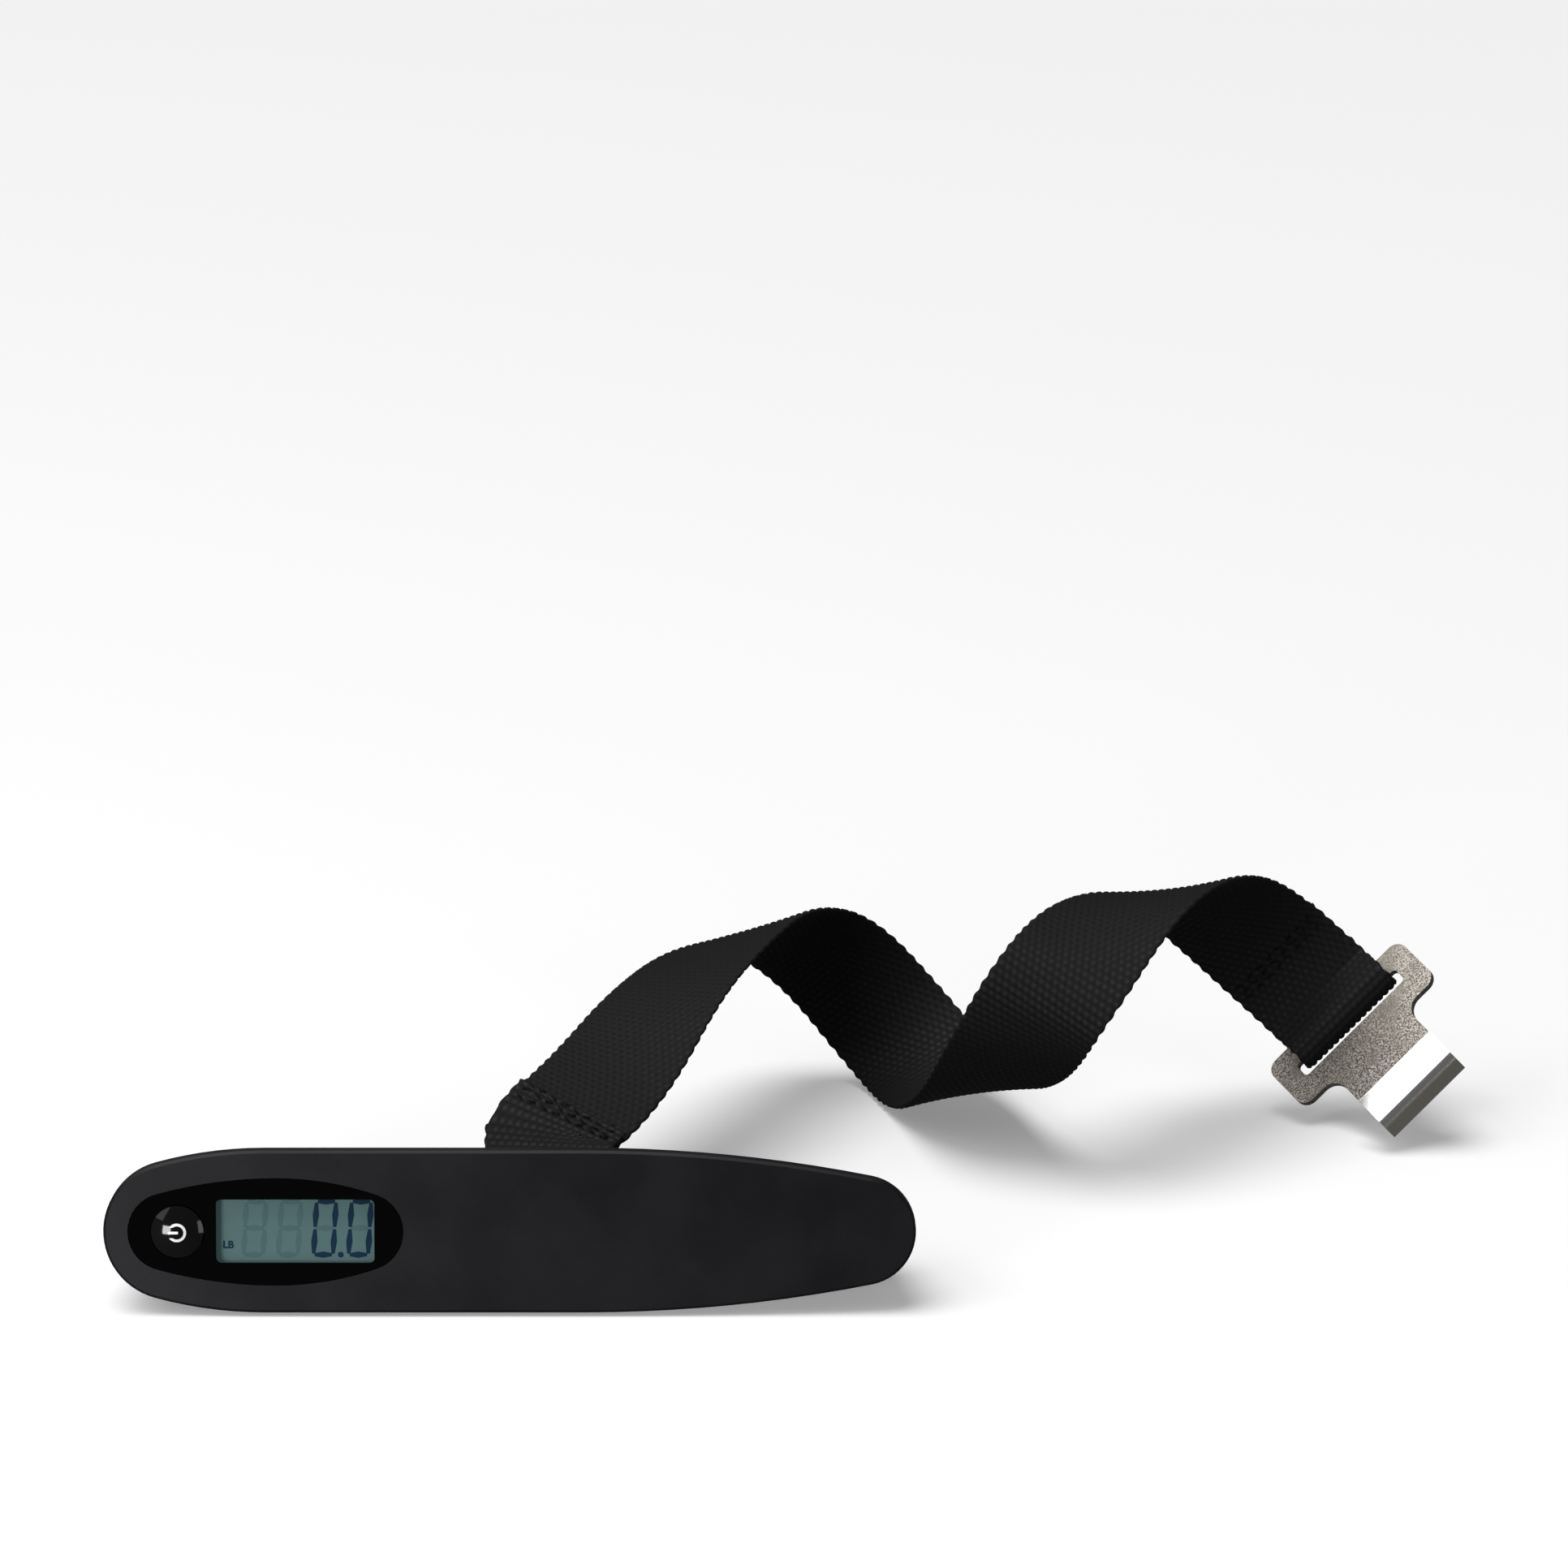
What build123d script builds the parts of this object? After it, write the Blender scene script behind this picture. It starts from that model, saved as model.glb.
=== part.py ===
from build123d import *

import os
from math import cos, radians, sin

# Digital luggage scale. Millimetres, +Z up.
# The case lies along X and stands on its long lower flank, leaning back, with its face towards -Y.
# Case parts are drawn in the case's own frame: X along it, Y from the face into the case, Z up the
# face from its middle. in_case() leans that frame back and stands it on the ground.
# The webbing and its hook lie behind the case and are drawn where they lie.

# ---------------------------------------------------------------- driving dimensions
CASE_LENGTH = 151.7
CASE_HEIGHT = 30.6
CASE_DEPTH = 22.0
BLUNT_END = 30.0             # length of the rounded stretch at the display end
SLIM_END = 62.0              # length of the rounded stretch at the other end
BLUNT_TIP_R = 13.0           # radius round each end's tip
SLIM_TIP_R = 10.2
WALL = 1.8
RIM_DEPTH = 4.0              # straight rim of the cover, from the face back
FACE_THICK = 2.2
FACE_BEVEL = 0.5
BACK_ROUND = 4.5
LEAN = 12.0                  # lean of the standing case, and draft of the shell's flank
CASE_Y = -17.417             # place of the face's middle

WINDOW_X = -43.5             # where the oval's two halves meet
WINDOW_BLUNT = 27.8
WINDOW_SLIM = 23.7
WINDOW_HALF = 10.15
WINDOW_TIP_R = 7.4
WINDOW_SINK = 0.3
LENS_THICK = 1.1
LENS_GAP = 0.1
GASKET_THICK = 0.2
LEDGE = 1.2

BUTTON_X = -62.0
BUTTON_R = 4.88
BUTTON_HOLE_R = 5.13
BUTTON_PROUD = 1.2
FLANGE_R = 5.6
ICON_R = 1.5
ICON_STROKE = 0.5
PRINT_THICK = 0.05
STEM_R = 1.6                 # stem between the button and its switch
STEM_END = 4.0
PLUNGER_R = 1.5
PLUNGER_END = 5.0
SWITCH_FRONT = 4.6
SWITCH_HALF = 3.0

LCD_X = -40.0
LCD_SIZE = (31.6, 14.4)
LCD_FRONT = 2.6
LCD_THICK = 1.6
HOLDER_WALL = 1.3

BOARD_FRONT = 6.3
BOARD_THICK = 1.0
BOARD_X = (-66.0, -14.0)
BOARD_HALF = 9.0
BOARD_SCREWS = [(-17.5, -6.0), (-17.5, 6.0)]
BOARD_BOSS_R = 2.2
CAPACITOR_SIZE = (1.6, 0.8)  # length along X, then height and depth

BEAM_X = (-2.0, 58.0)
BEAM_Y = (8.4, 16.4)
BEAM_HALF = 6.0
BEAM_HOLES = (21.0, 31.0)
BEAM_HOLE_R = 3.0
FIXED_SCREWS = (42.0, 52.0)
PLATE_X = (34.0, 58.0)
PLATE_THICK = 2.0
PLATE_EAR_X = 40.0
PLATE_EAR_Z = 8.7
PLATE_BOSS_R = 2.1

HANGER_X = 6.3
HANGER_SCREW_X = 13.3
LUG_WIDTH = 6.0
LUG_R = 3.4
LUG_FOOT = 2.0               # thickness of the lug's foot on the beam
EYE_DEPTH = 25.6
EYE_CLEAR = 0.08
WIRE_R = 1.5
RING_INNER = 28.0
RING_REACH = 13.0            # between the centres of the ring's two long bars
RING_BEND = 3.0
RING_RISE = 29.0             # degrees that the ring stands up behind the case

CELL_X = -38.0
CELL_R = 8.0
CELL_THICK = 3.2
CELL_FRONT = 12.0
TRAY_X = (-48.0, -28.0)
TRAY_Y = (9.4, 16.4)
TRAY_HALF = 9.6
DOOR_X = (-50.0, -27.0)
DOOR_HALF = 8.8
DOOR_GAP = 0.3
DOOR_PIVOT = (-48.6, 20.8)
KNUCKLE_R = 1.15
PIN_R = 0.6
PIN_HOLE_R = 0.68
CLIP_FRONT = CELL_FRONT - 0.4
CLIP_BACK = CELL_FRONT + CELL_THICK
CLIP_THICK = 0.3

CASE_SCREWS = (-9.0, 64.0)
BOSS_R = 2.6
BOSS_MEET = 12.0             # depth at which the cover's and the shell's bosses meet
PILOT_FRONT = 4.0            # front end of the screws' pilot holes in the cover
SCREW_SEAT = 18.4            # depth of the case screws' heads
COUNTERBORE_R = 2.3

# Pan-head screws: shank radius, head radius, head height.
BOARD_SCREW = (0.78, 1.7, 1.0)
BEAM_SCREW = (1.95, 3.4, 1.8)
PLATE_SCREW = (1.0, 1.9, 1.2)
HANGER_SCREW = (1.45, 2.5, 1.4)
CASE_SCREW = (1.0, 2.1, 1.3)

COLLAR_HOLE = (9.0, 9.8)
COLLAR_FLANGE = (12.0, 12.4)
COLLAR_INNER = (7.2, 8.0)
COLLAR_PROUD = 0.7

STRAP_WIDTH = 25.0
STRAP_THICK = 1.4
LOOP_CLEAR = 0.25

# Middle of the webbing from the ring to the hook, with Y from the face's middle. Each point has
# the way the webbing's width points: heading in the ground plane and rise above it, in degrees.
# The curve leaves the corners inside.
STRAP_ROUTE = [
    (6.3, 38.5, 18, 0, 0),
    (6.6, 42.2, 20, -4, -3),
    (12.5, 49, 23, -13, -11),
    (19, 59.7, 27, -20, -8),
    (28, 77.7, 35, -27, 6),
    (37, 95.7, 38, -29, 14),
    (47, 114.7, 37, -27, 27),
    (60, 127.7, 27, -14, 41),
    (75, 126.7, 9, 18, 40),
    (84, 106.7, 4.5, 18, 15),
    (90, 87.7, 11, 19, -4),
    (95, 70.7, 24, 2, -18),
    (103, 60.7, 42, -23, -34),
    (115, 76.7, 52, -30, -3),
    (127, 94.7, 52, -32, 16),
    (139, 107.7, 42, -11, 39),
    (152, 113.7, 29, 12, 45),
    (160, 110.7, 22, 15, 43),
]
FIRST_STITCH = 8.0           # from the ring to the first bar of stitching
LAST_STITCH = 13.5           # from the hook back to the last bar of stitching
STITCH_ROWS = 3
STITCH_GAP = 1.6
THREAD_SIZE = (0.6, 0.4)     # width and height of one row of thread

HOOK_EDGE = (161.5, 111.2, 20.6)  # middle of the hook's edge nearest the strap, Y as above
HOOK_ACROSS = (0.71, 0.19, 0.68)
HOOK_ALONG = (0.545, -0.74, -0.39)
HOOK_STEEL = 1.5
HEAD_WIDTH = 37.0
HEAD_LENGTH = 12.6
NECK_WIDTH = 19.6
HOOK_LENGTH = 32.4
FOLD_HEIGHT = 7.0
LIP_LENGTH = 8.7
SLOT_SIZE = (27.5, 3.4)
HOOK_BAR = 4.4               # steel between the slot and the edge nearest the strap
HEAD_CORNER_R = 2.6
NECK_CORNER_R = 3.2
FOLD_R = 2.6

HALF_HEIGHT = CASE_HEIGHT / 2
STAND_Z = HALF_HEIGHT * cos(radians(LEAN)) + RIM_DEPTH * sin(radians(LEAN))


# ---------------------------------------------------------------- helpers
def in_case(shape):
    """Leans a case part back and stands it on the ground."""
    return Pos(0, CASE_Y, STAND_Z) * Rot(X=-LEAN) * shape


def case_point(x, y, z):
    """A point of the case's frame, where it stands."""
    turn = radians(LEAN)
    return Vector(x, CASE_Y + y * cos(turn) + z * sin(turn), STAND_Z - y * sin(turn) + z * cos(turn))


def save(name, *shapes):
    """Writes one node from its separate solids."""
    solids = [solid for shape in shapes for solid in shape.solids()]
    export_step(Compound(children=solids) if len(solids) > 1 else solids[0], f"parts/{name}.step")


def at_depth(sketch, depth):
    """A flat sketch of X and Z, stood up at a depth behind the face."""
    return Plane.XZ.offset(-depth) * sketch


def slab(sketch, front, back):
    """A sketch of X and Z with thickness from one depth to another."""
    return extrude(at_depth(sketch, front), back - front, dir=(0, 1, 0))


def disc(x, z, radius, front, back):
    return slab(Pos(x, z) * Circle(radius), front, back)


def block(x, y, z):
    """A box between pairs of limits."""
    size = [high - low for low, high in (x, y, z)]
    middle = [(high + low) / 2 for low, high in (x, y, z)]
    return Pos(*middle) * Box(*size)


def end_arcs(x, side, length, half, tip_r, inset):
    """One rounded end of an oval: two long arcs that leave its straight sides, and one round its tip."""
    long_r = (length ** 2 + half ** 2 - 2 * length * tip_r) / (2 * (half - tip_r))
    way = Vector(length - tip_r, long_r - half).normalized()
    join_x = x + side * (length - tip_r + (tip_r - inset) * way.X)
    join_z = (tip_r - inset) * way.Y
    tip = ThreePointArc((join_x, join_z), (x + side * (length - inset), 0), (join_x, -join_z))
    upper = TangentArc((x, half - inset), (join_x, join_z), tangent=(side, 0))
    lower = TangentArc((x, inset - half), (join_x, -join_z), tangent=(side, 0))
    return [upper, tip, lower]


def outline(inset):
    """The case's outline in X and Z, set in all round."""
    middle_left = BLUNT_END - CASE_LENGTH / 2
    middle_right = CASE_LENGTH / 2 - SLIM_END
    sides = [Line((middle_left, z), (middle_right, z)) for z in (inset - HALF_HEIGHT, HALF_HEIGHT - inset)]
    blunt = end_arcs(middle_left, -1, BLUNT_END, HALF_HEIGHT, BLUNT_TIP_R, inset)
    slim = end_arcs(middle_right, 1, SLIM_END, HALF_HEIGHT, SLIM_TIP_R, inset)
    return make_face(sides + blunt + slim)


def window(inset):
    """The window's oval in X and Z, set in all round."""
    blunt = end_arcs(WINDOW_X, -1, WINDOW_BLUNT, WINDOW_HALF, WINDOW_TIP_R, inset)
    slim = end_arcs(WINDOW_X, 1, WINDOW_SLIM, WINDOW_HALF, WINDOW_TIP_R, inset)
    return make_face(blunt + slim)


def edges_at(shape, depth):
    """The edges of a case part that lie at one depth behind the face."""
    return shape.edges().filter_by(lambda edge: abs(edge.center().Y - depth) < 0.01)


def drafted(inset, front, back, corner):
    """A body behind the rim with a drafted flank and a rounded far edge."""
    body = extrude(at_depth(outline(inset), front), back - front, dir=(0, 1, 0), taper=LEAN)
    return fillet(edges_at(body, back), corner)


def screw(x, z, head_depth, tip_depth, shank_r, head_r, head_height):
    """A pan-head cross screw along Y, its head's bearing face at head_depth."""
    way = 1 if tip_depth > head_depth else -1
    head = disc(x, z, head_r, *sorted((head_depth - way * head_height, head_depth)))
    top = head_depth - way * head_height
    head = chamfer(edges_at(head, top), head_height * 0.35)
    arm, depth = head_r * 1.1, head_height * 0.6
    cross = Rectangle(arm, arm * 0.24) + Rectangle(arm * 0.24, arm)
    recess = slab(Pos(x, z) * cross, *sorted((top, top + way * depth)))
    return head + disc(x, z, shank_r, *sorted((head_depth, tip_depth))) - recess


def wire(points, radius, bend):
    """A round wire along straight runs with rounded corners."""
    path = FilletPolyline(*points, radius=bend)
    start = Plane(origin=path @ 0, z_dir=path % 0)
    return sweep(start * Circle(radius), path=path)


os.makedirs("parts", exist_ok=True)

# ---------------------------------------------------------------- front cover
window_back = WINDOW_SINK + LENS_THICK + GASKET_THICK
front_cover = slab(outline(0), 0, RIM_DEPTH)
front_cover = chamfer(edges_at(front_cover, 0), FACE_BEVEL)
front_cover -= slab(outline(WALL), FACE_THICK, RIM_DEPTH)
front_cover -= slab(window(0), 0, window_back)
front_cover -= slab(window(LEDGE), window_back, FACE_THICK)
for x, z in BOARD_SCREWS:
    front_cover += disc(x, z, BOARD_BOSS_R, FACE_THICK, BOARD_FRONT) - disc(x, z, 0.8, 3.0, BOARD_FRONT)
for x in CASE_SCREWS:
    front_cover += disc(x, 0, BOSS_R, FACE_THICK, BOSS_MEET) - disc(x, 0, 1.05, PILOT_FRONT, BOSS_MEET)
save("front_cover", in_case(front_cover))

lens_back = WINDOW_SINK + LENS_THICK
window_lens = slab(window(LENS_GAP), WINDOW_SINK, lens_back) - disc(BUTTON_X, 0, BUTTON_HOLE_R, 0, 3)
save("window_lens", in_case(window_lens))
save("lens_gasket", in_case(slab(window(LENS_GAP) - window(LEDGE - 0.1), lens_back, window_back)))

# ---------------------------------------------------------------- power button and its switch
dome_r = (BUTTON_R ** 2 + BUTTON_PROUD ** 2) / (2 * BUTTON_PROUD)
dome_centre = Pos(BUTTON_X, dome_r - BUTTON_PROUD, 0)
flange_front = lens_back + 0.3
power_button = (dome_centre * Sphere(dome_r)) & disc(BUTTON_X, 0, BUTTON_R, -BUTTON_PROUD - 1, 0)
power_button += disc(BUTTON_X, 0, BUTTON_R, 0, flange_front)
flange = disc(BUTTON_X, 0, FLANGE_R, flange_front, flange_front + 0.8)
power_button += flange & block((BUTTON_X - 9, BUTTON_X + BUTTON_R - 0.5), (0, 5), (-9, 9))
power_button += disc(BUTTON_X, 0, STEM_R, flange_front + 0.8, STEM_END)
save("power_button", in_case(power_button))

ring_print = Circle(ICON_R + ICON_STROKE / 2) - Circle(ICON_R - ICON_STROKE / 2)
ring_print -= Pos(-ICON_R, 0) * Rectangle(1.5, 4 * ICON_STROKE)
bar_print = Pos(-0.72, 0) * Rectangle(1.9, ICON_STROKE)
print_skin = dome_centre * (Sphere(dome_r + PRINT_THICK) - Sphere(dome_r))
icon = slab(Pos(BUTTON_X, 0) * (ring_print + bar_print), -BUTTON_PROUD - 1, 0) & print_skin
save("power_icon", in_case(icon))

switch_x = (BUTTON_X - SWITCH_HALF, BUTTON_X + SWITCH_HALF)
tact_switch = block(switch_x, (SWITCH_FRONT, BOARD_FRONT), (-SWITCH_HALF, SWITCH_HALF))
tact_switch -= disc(BUTTON_X, 0, PLUNGER_R + 0.15, SWITCH_FRONT, PLUNGER_END + 0.6)
save("tact_switch", in_case(tact_switch))
save("switch_plunger", in_case(disc(BUTTON_X, 0, PLUNGER_R, STEM_END, PLUNGER_END)))

# ---------------------------------------------------------------- display
lcd_w, lcd_h = LCD_SIZE
lcd_back = LCD_FRONT + LCD_THICK
save("lcd_glass", in_case(slab(Pos(LCD_X, 0) * Rectangle(lcd_w, lcd_h), LCD_FRONT, lcd_back)))
reflector = slab(Pos(LCD_X, 0) * Rectangle(lcd_w - 1.2, lcd_h - 3.6), lcd_back, lcd_back + 0.15)
save("lcd_reflector", in_case(reflector))
zebra = slab(Rectangle(lcd_w - 3, 1.4), lcd_back, BOARD_FRONT)
save("zebra_strips", *[in_case(Pos(LCD_X, 0, z) * zebra) for z in (-6.3, 6.3)])
holder = Rectangle(lcd_w + 2 * HOLDER_WALL, lcd_h + 2 * HOLDER_WALL) - Rectangle(lcd_w + 0.2, lcd_h + 0.2)
save("lcd_holder", in_case(slab(Pos(LCD_X, 0) * holder, FACE_THICK + 0.1, BOARD_FRONT)))

# ---------------------------------------------------------------- circuit board
board_back = BOARD_FRONT + BOARD_THICK
board_shape = Pos(sum(BOARD_X) / 2, 0) * RectangleRounded(BOARD_X[1] - BOARD_X[0], 2 * BOARD_HALF, 1.5)
board = slab(board_shape, BOARD_FRONT, board_back)
for x, z in BOARD_SCREWS:
    board -= disc(x, z, 1.1, BOARD_FRONT, board_back)
save("main_board", in_case(board))
save("board_screws", *[in_case(screw(x, z, board_back, 3.4, *BOARD_SCREW)) for x, z in BOARD_SCREWS])
dome = Cone(4.6, 2.4, 1.4, align=(Align.CENTER, Align.CENTER, Align.MIN))
resin = Pos(-38, board_back, 0) * Rot(X=-90) * dome
save("chip_resin", in_case(resin))
save("clock_crystal", in_case(block((-52.5, -46.5), (board_back, board_back + 1.6), (4.2, 6.2))))
cap_length, cap_height = CAPACITOR_SIZE
capacitors = [block((x, x + cap_length), (board_back, board_back + cap_height), (z, z + cap_height))
              for x in (-62.0, -57.0, -50.0) for z in (-6.8, -3.2)]
save("capacitors", *[in_case(part) for part in capacitors])

# ---------------------------------------------------------------- load cell
beam = block(BEAM_X, BEAM_Y, (-BEAM_HALF, BEAM_HALF))
beam_middle = sum(BEAM_Y) / 2
for x in BEAM_HOLES:
    beam -= Pos(x, beam_middle, 0) * Cylinder(BEAM_HOLE_R, 3 * BEAM_HALF)
beam -= block(BEAM_HOLES, (beam_middle - 1.0, beam_middle + 1.0), (-BEAM_HALF, BEAM_HALF))
for x in FIXED_SCREWS:
    beam -= disc(x, 0, 2.0, BEAM_Y[0], BEAM_Y[1] - 1.8)
beam -= disc(HANGER_SCREW_X, 0, 1.5, 10.0, BEAM_Y[1])
save("load_cell_beam", in_case(beam))

gauges = [block((x - 3, x + 3), (BEAM_Y[1], BEAM_Y[1] + 0.2), (-2.5, 2.5)) for x in BEAM_HOLES]
save("strain_gauges", *[in_case(gauge) for gauge in gauges])
sealant = [block((x - 3.6, x + 3.6), (BEAM_Y[1] + 0.2, BEAM_Y[1] + 1.2), (-3.2, 3.2)) for x in BEAM_HOLES]
save("gauge_sealant", *[in_case(fillet(part.edges().filter_by(Axis.Y), 1.5)) for part in sealant])

wires = []
for i in range(4):
    z = -1.2 - 0.7 * i
    side_z = -6.9 - 0.4 * i
    depth = board_back + 0.4
    step = 0.5 * i
    route = [(-24, depth, z), (-15.5, depth + 0.7 + step, z), (-7, 13 + step, side_z),
             (14, 16 + step, side_z), (23, 17 + step, -5.8 - 0.3 * i), (26 + 0.8 * i, 17.2, -3.6)]
    wires.append(wire(route, 0.25, 2.0))
save("load_cell_wires", *[in_case(part) for part in wires])

plate_front = BEAM_Y[0] - PLATE_THICK
plate_shape = Pos(sum(PLATE_X) / 2, 0) * RectangleRounded(PLATE_X[1] - PLATE_X[0], 16, 2)
plate_shape += Pos(PLATE_EAR_X, 0) * RectangleRounded(7, 21.4, 2)
base_plate = slab(plate_shape, plate_front, BEAM_Y[0])
for x in FIXED_SCREWS:
    base_plate -= disc(x, 0, 2.2, plate_front, BEAM_Y[0])
for z in (-PLATE_EAR_Z, PLATE_EAR_Z):
    base_plate -= disc(PLATE_EAR_X, z, 1.3, plate_front, BEAM_Y[0])
save("base_plate", in_case(base_plate))
save("beam_screws", *[in_case(screw(x, 0, plate_front, 14.0, *BEAM_SCREW)) for x in FIXED_SCREWS])
plate_screws = [screw(PLATE_EAR_X, z, plate_front, 15.0, *PLATE_SCREW) for z in (-PLATE_EAR_Z, PLATE_EAR_Z)]
save("plate_screws", *[in_case(part) for part in plate_screws])

# ---------------------------------------------------------------- hanger and ring
foot_back = BEAM_Y[1] + LUG_FOOT
lug_half = LUG_WIDTH / 2
lug = block((BEAM_X[0], 16.0), (BEAM_Y[1], foot_back), (-5, 5))
lug += block((HANGER_X - lug_half, HANGER_X + lug_half), (BEAM_Y[1], EYE_DEPTH), (-LUG_R, LUG_R))
lug += Pos(HANGER_X, EYE_DEPTH, 0) * Rot(Y=90) * Cylinder(LUG_R, LUG_WIDTH)
lug -= Pos(HANGER_X, EYE_DEPTH, 0) * Rot(Y=90) * Cylinder(WIRE_R + EYE_CLEAR, LUG_WIDTH + 2)
lug -= disc(HANGER_SCREW_X, 0, 1.7, BEAM_Y[1], foot_back)
save("hanger_lug", in_case(lug))
save("hanger_screw", in_case(screw(HANGER_SCREW_X, 0, foot_back, 10.6, *HANGER_SCREW)))

eye = case_point(HANGER_X, EYE_DEPTH, 0)
ring_way = Vector(0, cos(radians(RING_RISE)), sin(radians(RING_RISE)))
strap_bar = eye + ring_way * RING_REACH
ring_plane = Plane(origin=(eye + strap_bar) / 2, x_dir=(1, 0, 0), z_dir=Vector(1, 0, 0).cross(ring_way))
ring_path = (ring_plane * RectangleRounded(RING_INNER + 2 * WIRE_R, RING_REACH, RING_BEND)).wire()
ring_start = Plane(origin=ring_path @ 0, z_dir=ring_path % 0)
save("strap_ring", sweep(ring_start * Circle(WIRE_R), path=ring_path))

# ---------------------------------------------------------------- battery
cell_shape = fillet(disc(CELL_X, 0, CELL_R, CELL_FRONT, CELL_FRONT + CELL_THICK).edges(), 0.3)
save("coin_cell", in_case(cell_shape))
tray = block(TRAY_X, TRAY_Y, (-TRAY_HALF, TRAY_HALF))
tray -= disc(CELL_X, 0, CELL_R + 0.25, CLIP_FRONT, TRAY_Y[1])
tray_wall = 1.2
hollow_half = TRAY_HALF - tray_wall
hollow_x = (TRAY_X[0] + tray_wall, TRAY_X[1] - tray_wall)
tray -= block(hollow_x, (TRAY_Y[0], TRAY_Y[0] + tray_wall), (-hollow_half, hollow_half))
tray -= block((-31.0, -28.8), (CLIP_FRONT, TRAY_Y[1]), (-3.3, 3.3))
save("battery_tray", in_case(tray))
negative = block((-44.0, -32.0), (CLIP_FRONT, CELL_FRONT), (-1.5, 1.5))
save("negative_contact", in_case(negative))
positive = block((-29.5, -29.1), (CLIP_FRONT, CLIP_BACK + CLIP_THICK), (-3, 3))
positive += block((-32.0, -29.1), (CLIP_BACK, CLIP_BACK + CLIP_THICK), (-2, 2))
save("positive_clip", in_case(positive))

# ---------------------------------------------------------------- rear shell, door and collar
back_inner = CASE_DEPTH - WALL
case_body = drafted(0, RIM_DEPTH, CASE_DEPTH, BACK_ROUND)
cavity = drafted(WALL, RIM_DEPTH, back_inner, BACK_ROUND - 1.4)
rear_shell = case_body - cavity
tongue = outline(WALL + 0.1) - outline(WALL + 1.2)
rear_shell += slab(tongue, RIM_DEPTH - 1.2, RIM_DEPTH)
rear_shell += slab(outline(WALL - 0.2) - outline(WALL + 1.2), RIM_DEPTH, RIM_DEPTH + 0.8)
bosses = Part()
for x in CASE_SCREWS:
    bosses += disc(x, 0, BOSS_R, BOSS_MEET, CASE_DEPTH)
for z in (-PLATE_EAR_Z, PLATE_EAR_Z):
    bosses += disc(PLATE_EAR_X, z, PLATE_BOSS_R, BEAM_Y[0], CASE_DEPTH)
rear_shell += bosses & case_body
for x in CASE_SCREWS:
    rear_shell -= disc(x, 0, 1.3, BOSS_MEET, CASE_DEPTH)
    rear_shell -= disc(x, 0, COUNTERBORE_R, SCREW_SEAT, CASE_DEPTH)
for z in (-PLATE_EAR_Z, PLATE_EAR_Z):
    rear_shell -= disc(PLATE_EAR_X, z, 1.02, BEAM_Y[0], 16.0)

pivot_x, pivot_y = DOOR_PIVOT
door_space = block((pivot_x, DOOR_X[1]), (14, 24), (-DOOR_HALF, DOOR_HALF))
knuckle = Pos(pivot_x, pivot_y, 0) * Cylinder(KNUCKLE_R, 2 * DOOR_HALF)
battery_door = (case_body - cavity) & (door_space + knuckle)
battery_door += Pos(pivot_x, pivot_y, 0) * Cylinder(PIN_R, 2 * DOOR_HALF + 2.4)
battery_door -= block((DOOR_X[1] - 2.2, DOOR_X[1]), (CASE_DEPTH - 0.6, CASE_DEPTH + 1), (-3, 3))
save("battery_door", in_case(battery_door))
gap_half = DOOR_HALF + DOOR_GAP
opening = block((pivot_x - KNUCKLE_R - DOOR_GAP, DOOR_X[1] + DOOR_GAP), (14, 24), (-gap_half, gap_half))
rear_shell -= opening
rear_shell -= Pos(pivot_x, pivot_y, 0) * Cylinder(PIN_HOLE_R, 2 * DOOR_HALF + 3.0)

collar_hole = Pos(HANGER_X, 0) * RectangleRounded(*COLLAR_HOLE, 2)
collar_flange = Pos(HANGER_X, 0) * RectangleRounded(*COLLAR_FLANGE, 3)
collar_inner = Pos(HANGER_X, 0) * RectangleRounded(*COLLAR_INNER, 1.2)
rear_shell -= slab(collar_hole, back_inner - 1, CASE_DEPTH + 1)
collar = slab(collar_hole, back_inner, CASE_DEPTH)
collar += slab(collar_flange, CASE_DEPTH, CASE_DEPTH + COLLAR_PROUD)
save("slot_collar", in_case(collar - slab(collar_inner, back_inner - 1, CASE_DEPTH + 1)))
save("rear_shell", in_case(rear_shell))
save("case_screws", *[in_case(screw(x, 0, SCREW_SEAT, PILOT_FRONT + 1.0, *CASE_SCREW)) for x in CASE_SCREWS])

# ---------------------------------------------------------------- webbing
def width_way(heading, rise):
    """The unit vector across the webbing."""
    turn, lift = radians(heading), radians(rise)
    return Vector(cos(turn) * cos(lift), sin(turn) * cos(lift), sin(lift))


def strap_stations(route):
    """Stations on the route's quadratic B-spline, three for each of its spans.

    Each holds a point, the direction there and the way across the webbing.
    """
    points = [Vector(x, CASE_Y + y, z) for x, y, z, _, _ in route]
    across = [width_way(*row[3:]) for row in route]
    stations = []
    spans = len(points) - 2
    for i in range(spans):
        first = points[0] if i == 0 else (points[i] + points[i + 1]) / 2
        last = points[-1] if i == spans - 1 else (points[i + 1] + points[i + 2]) / 2
        first_across = across[0] if i == 0 else (across[i] + across[i + 1]) / 2
        last_across = across[-1] if i == spans - 1 else (across[i + 1] + across[i + 2]) / 2
        middle, middle_across = points[i + 1], across[i + 1]
        for t in (0, 1 / 3, 2 / 3) if i < spans - 1 else (0, 1 / 3, 2 / 3, 1):
            here = first * (1 - t) ** 2 + middle * (2 * t * (1 - t)) + last * t ** 2
            along = (middle - first) * (1 - t) + (last - middle) * t
            width = first_across * (1 - t) ** 2 + middle_across * (2 * t * (1 - t)) + last_across * t ** 2
            stations.append((here, along, width))
    return stations


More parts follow.
